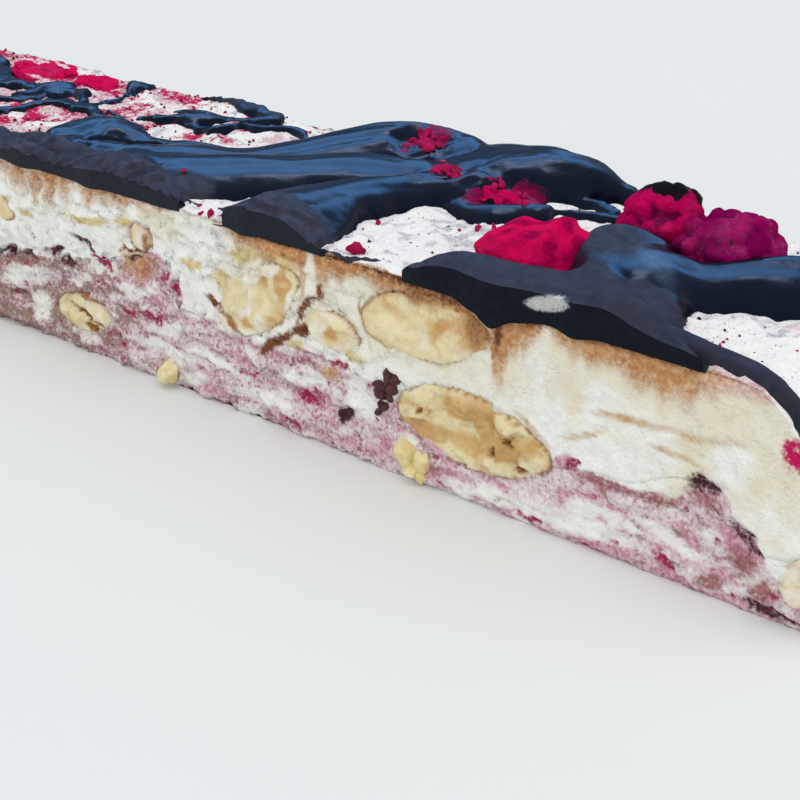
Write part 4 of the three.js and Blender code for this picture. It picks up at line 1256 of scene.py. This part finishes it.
def crumbs(name, slot, look, places, rng, squash=1.0, fine=2, dented=0.6):
    """Balls broken to flat facets, dented, turned and stretched; places hold x, y, z and size in mm."""
    bpy.ops.object.select_all(action="DESELECT")
    bpy.ops.mesh.primitive_ico_sphere_add(subdivisions=fine, radius=1)
    ball = bpy.context.object
    unit = read(ball) * MM
    faces = np.array([face.vertices[:] for face in ball.data.polygons])
    bpy.ops.object.delete()
    points, triangles = [], []
    for number, (x, y, z, size) in enumerate(places):
        planes = SPREAD + rng.normal(0, 0.3, (FACETS, 3))
        planes /= np.linalg.norm(planes, axis=1, keepdims=True)
        broken = np.min(rng.uniform(0.6, 1.0, FACETS) / np.maximum(unit @ planes.T, 0.6), axis=1)
        dents = broken * (1 + dented * waves(unit * 1.5 + 5.3 * number, 1.4, 1.0, fine - 1))
        stretch = rng.uniform(0.6, 1.3, 3)
        turn = np.linalg.qr(rng.normal(size=(3, 3)))[0]
        turn *= np.sign(np.linalg.det(turn))
        bit = (unit * dents[:, None] * stretch) @ turn.T * size
        points.append(bit * (1, squash, 1) + (x, y, z))
        triangles.append(faces + number * len(unit))
    mesh = bpy.data.meshes.new(name)
    mesh.from_pydata(np.vstack(points) * MM, [], np.vstack(triangles))
    piece = bpy.data.objects.new(name, mesh)
    bpy.context.collection.objects.link(piece)
    paint(piece, shade=lumps(np.vstack(points), 1.2))
    mesh.materials.append(look)
    finish(piece, slot)


print("ground under the crumbs at the middle:", dropped(0, 0))

# %% [markdown]
# Raspberry dust lies on the powder, thickly at the left, with chunks in the hollows of the chocolate and a
# few larger fragments. Fine flakes of chocolate lie between.

# %% Dust and flakes on the top
DUST_GRAINS, FLAKES, CHUNKS = 1500, 300, 18
# What falls lower than this fell past the top.
TOP_FROM = 17
# Along the bar: how likely it is that a grain of dust stays.
DUSTED = np.array([(-75, 1.0), (-25, 0.9), (-5, 0.4), (10, 0.15), (30, 0.06), (50, 0.06), (75, 0.12)])
# Larger fragments of raspberry on the powder and at the chocolate's foot: x, y and size in mm.
FRAGMENTS = [
    (25.2, -13.3, 0.95), (25.7, -12.8, 0.5), (0.6, -10.8, 0.35), (7.8, -14.4, 0.35), (6.6, -14.6, 0.25),
    (21.5, -5.6, 0.35), (30.6, -1.8, 0.45), (31.6, -0.6, 0.4), (34.4, -9.6, 0.45)]
rng = np.random.default_rng(SEED + 3)


def sprinkled(count, smallest, spread, power, likely=None):
    """Crumbs drawn by chance onto the powder, small ones far more often than large ones."""
    found = []
    while len(found) < count:
        x, y = rng.uniform(-70, 68), rng.uniform(-14.6, 14.6)
        if likely is not None and rng.random() > np.interp(x, *likely.T):
            continue
        z, on_chocolate = dropped(x, y)
        if z < TOP_FROM or on_chocolate:
            continue
        size = smallest + spread * rng.random() ** power
        found.append((x, y, z + 0.2 * size, size))
    return found


dust = sprinkled(DUST_GRAINS, 0.06, 0.22, 5, DUSTED)
for middle_x, middle_y, reach, width, _ in HOLLOWS:
    for _ in range(CHUNKS):
        x = middle_x + reach * rng.uniform(-0.6, 0.6)
        y = min(12.5, middle_y + width * rng.uniform(-0.6, 0.6))
        size = 0.25 + 0.65 * rng.random() ** 2
        dust.append((x, y, dropped(x, y)[0] - 0.25 * size, size))
dust += [(x, y, dropped(x, y)[0] + 0.5 * size, size) for x, y, size in FRAGMENTS]
flakes = sprinkled(FLAKES, 0.05, 0.2, 4)
# Ground fruit: crimson and quite dull.
berry_crumb = material("raspberry_crumb", ("#ac0a48", "#7e063a", 0.8),
                       [("shade", "#c42a6c", "#9a1050", 0.4, 0.8, 0.4, 0.8)],
                       0.7, [(0.2, 0.03)], specular=0.1)
# Shaved chocolate: dark, with a slight sheen.
chocolate_crumb = material("chocolate_crumb", ("#1c161b", "#120e12", 0.8),
                           [("shade", "#3a2a33", "#2a1e28", 0.4, 0.8, 0.3, 0.6)], 0.45, [(0.2, 0.03)])
crumbs("raspberry_dust", "raspberry", berry_crumb, dust, rng)
crumbs("chocolate_flakes", "chocolate", chocolate_crumb, flakes, rng)

# %% [markdown]
# Bits of almond and of dark berry skin stuck to the near side when the knife passed.

# %% Bits on the near side
# For each: x, z and size in mm.
ALMOND_BITS = [(33.2, 3.2, 1.4), (34.7, 2.6, 1.1), (33.6, 1.5, 1.0), (34.6, 0.9, 0.7), (1.2, 1.7, 1.2)]
BERRY_BITS = [(31.6, 10.0, 0.8), (30.7, 9.8, 0.9), (31.3, 8.9, 0.9), (30.3, 8.8, 0.9), (29.9, 7.9, 0.8),
              (30.9, 7.9, 0.8), (30.2, 6.9, 0.8), (29.7, 6.1, 0.6), (29.5, 5.3, 0.4), (25.3, 4.4, 0.6),
              (25.9, 4.8, 0.4)]
# Broken kernel: straw-coloured and waxy.
almond_crumb = material("almond_crumb", ("#e6d79c", "#dcc784", 0.9),
                        [("shade", "#ece3bd", "#e2d19c", 0.5, 0.8, 0.3, 0.6)], 0.55, [(0.3, 0.04)])
# Dried skin of the fruit: brown-purple and rough.
dark_skin = material("berry_skin", ("#4c2c2f", "#2e181c", 0.6),
                     [("shade", "#6e4a4c", "#482a2e", 0.4, 0.8, 0.5, 0.7)], 0.7, [(0.3, 0.2)])
almond_places = [(x, NEAR - 0.2, z, size) for x, z, size in ALMOND_BITS]
berry_places = [(x, NEAR - 0.1, z, size) for x, z, size in BERRY_BITS]
crumbs("almond_bits", "almond", almond_crumb, almond_places, rng, squash=0.9, fine=4, dented=0.15)
crumbs("berry_bits", "raspberry", dark_skin, berry_places, rng, squash=0.9, fine=4, dented=0.35)
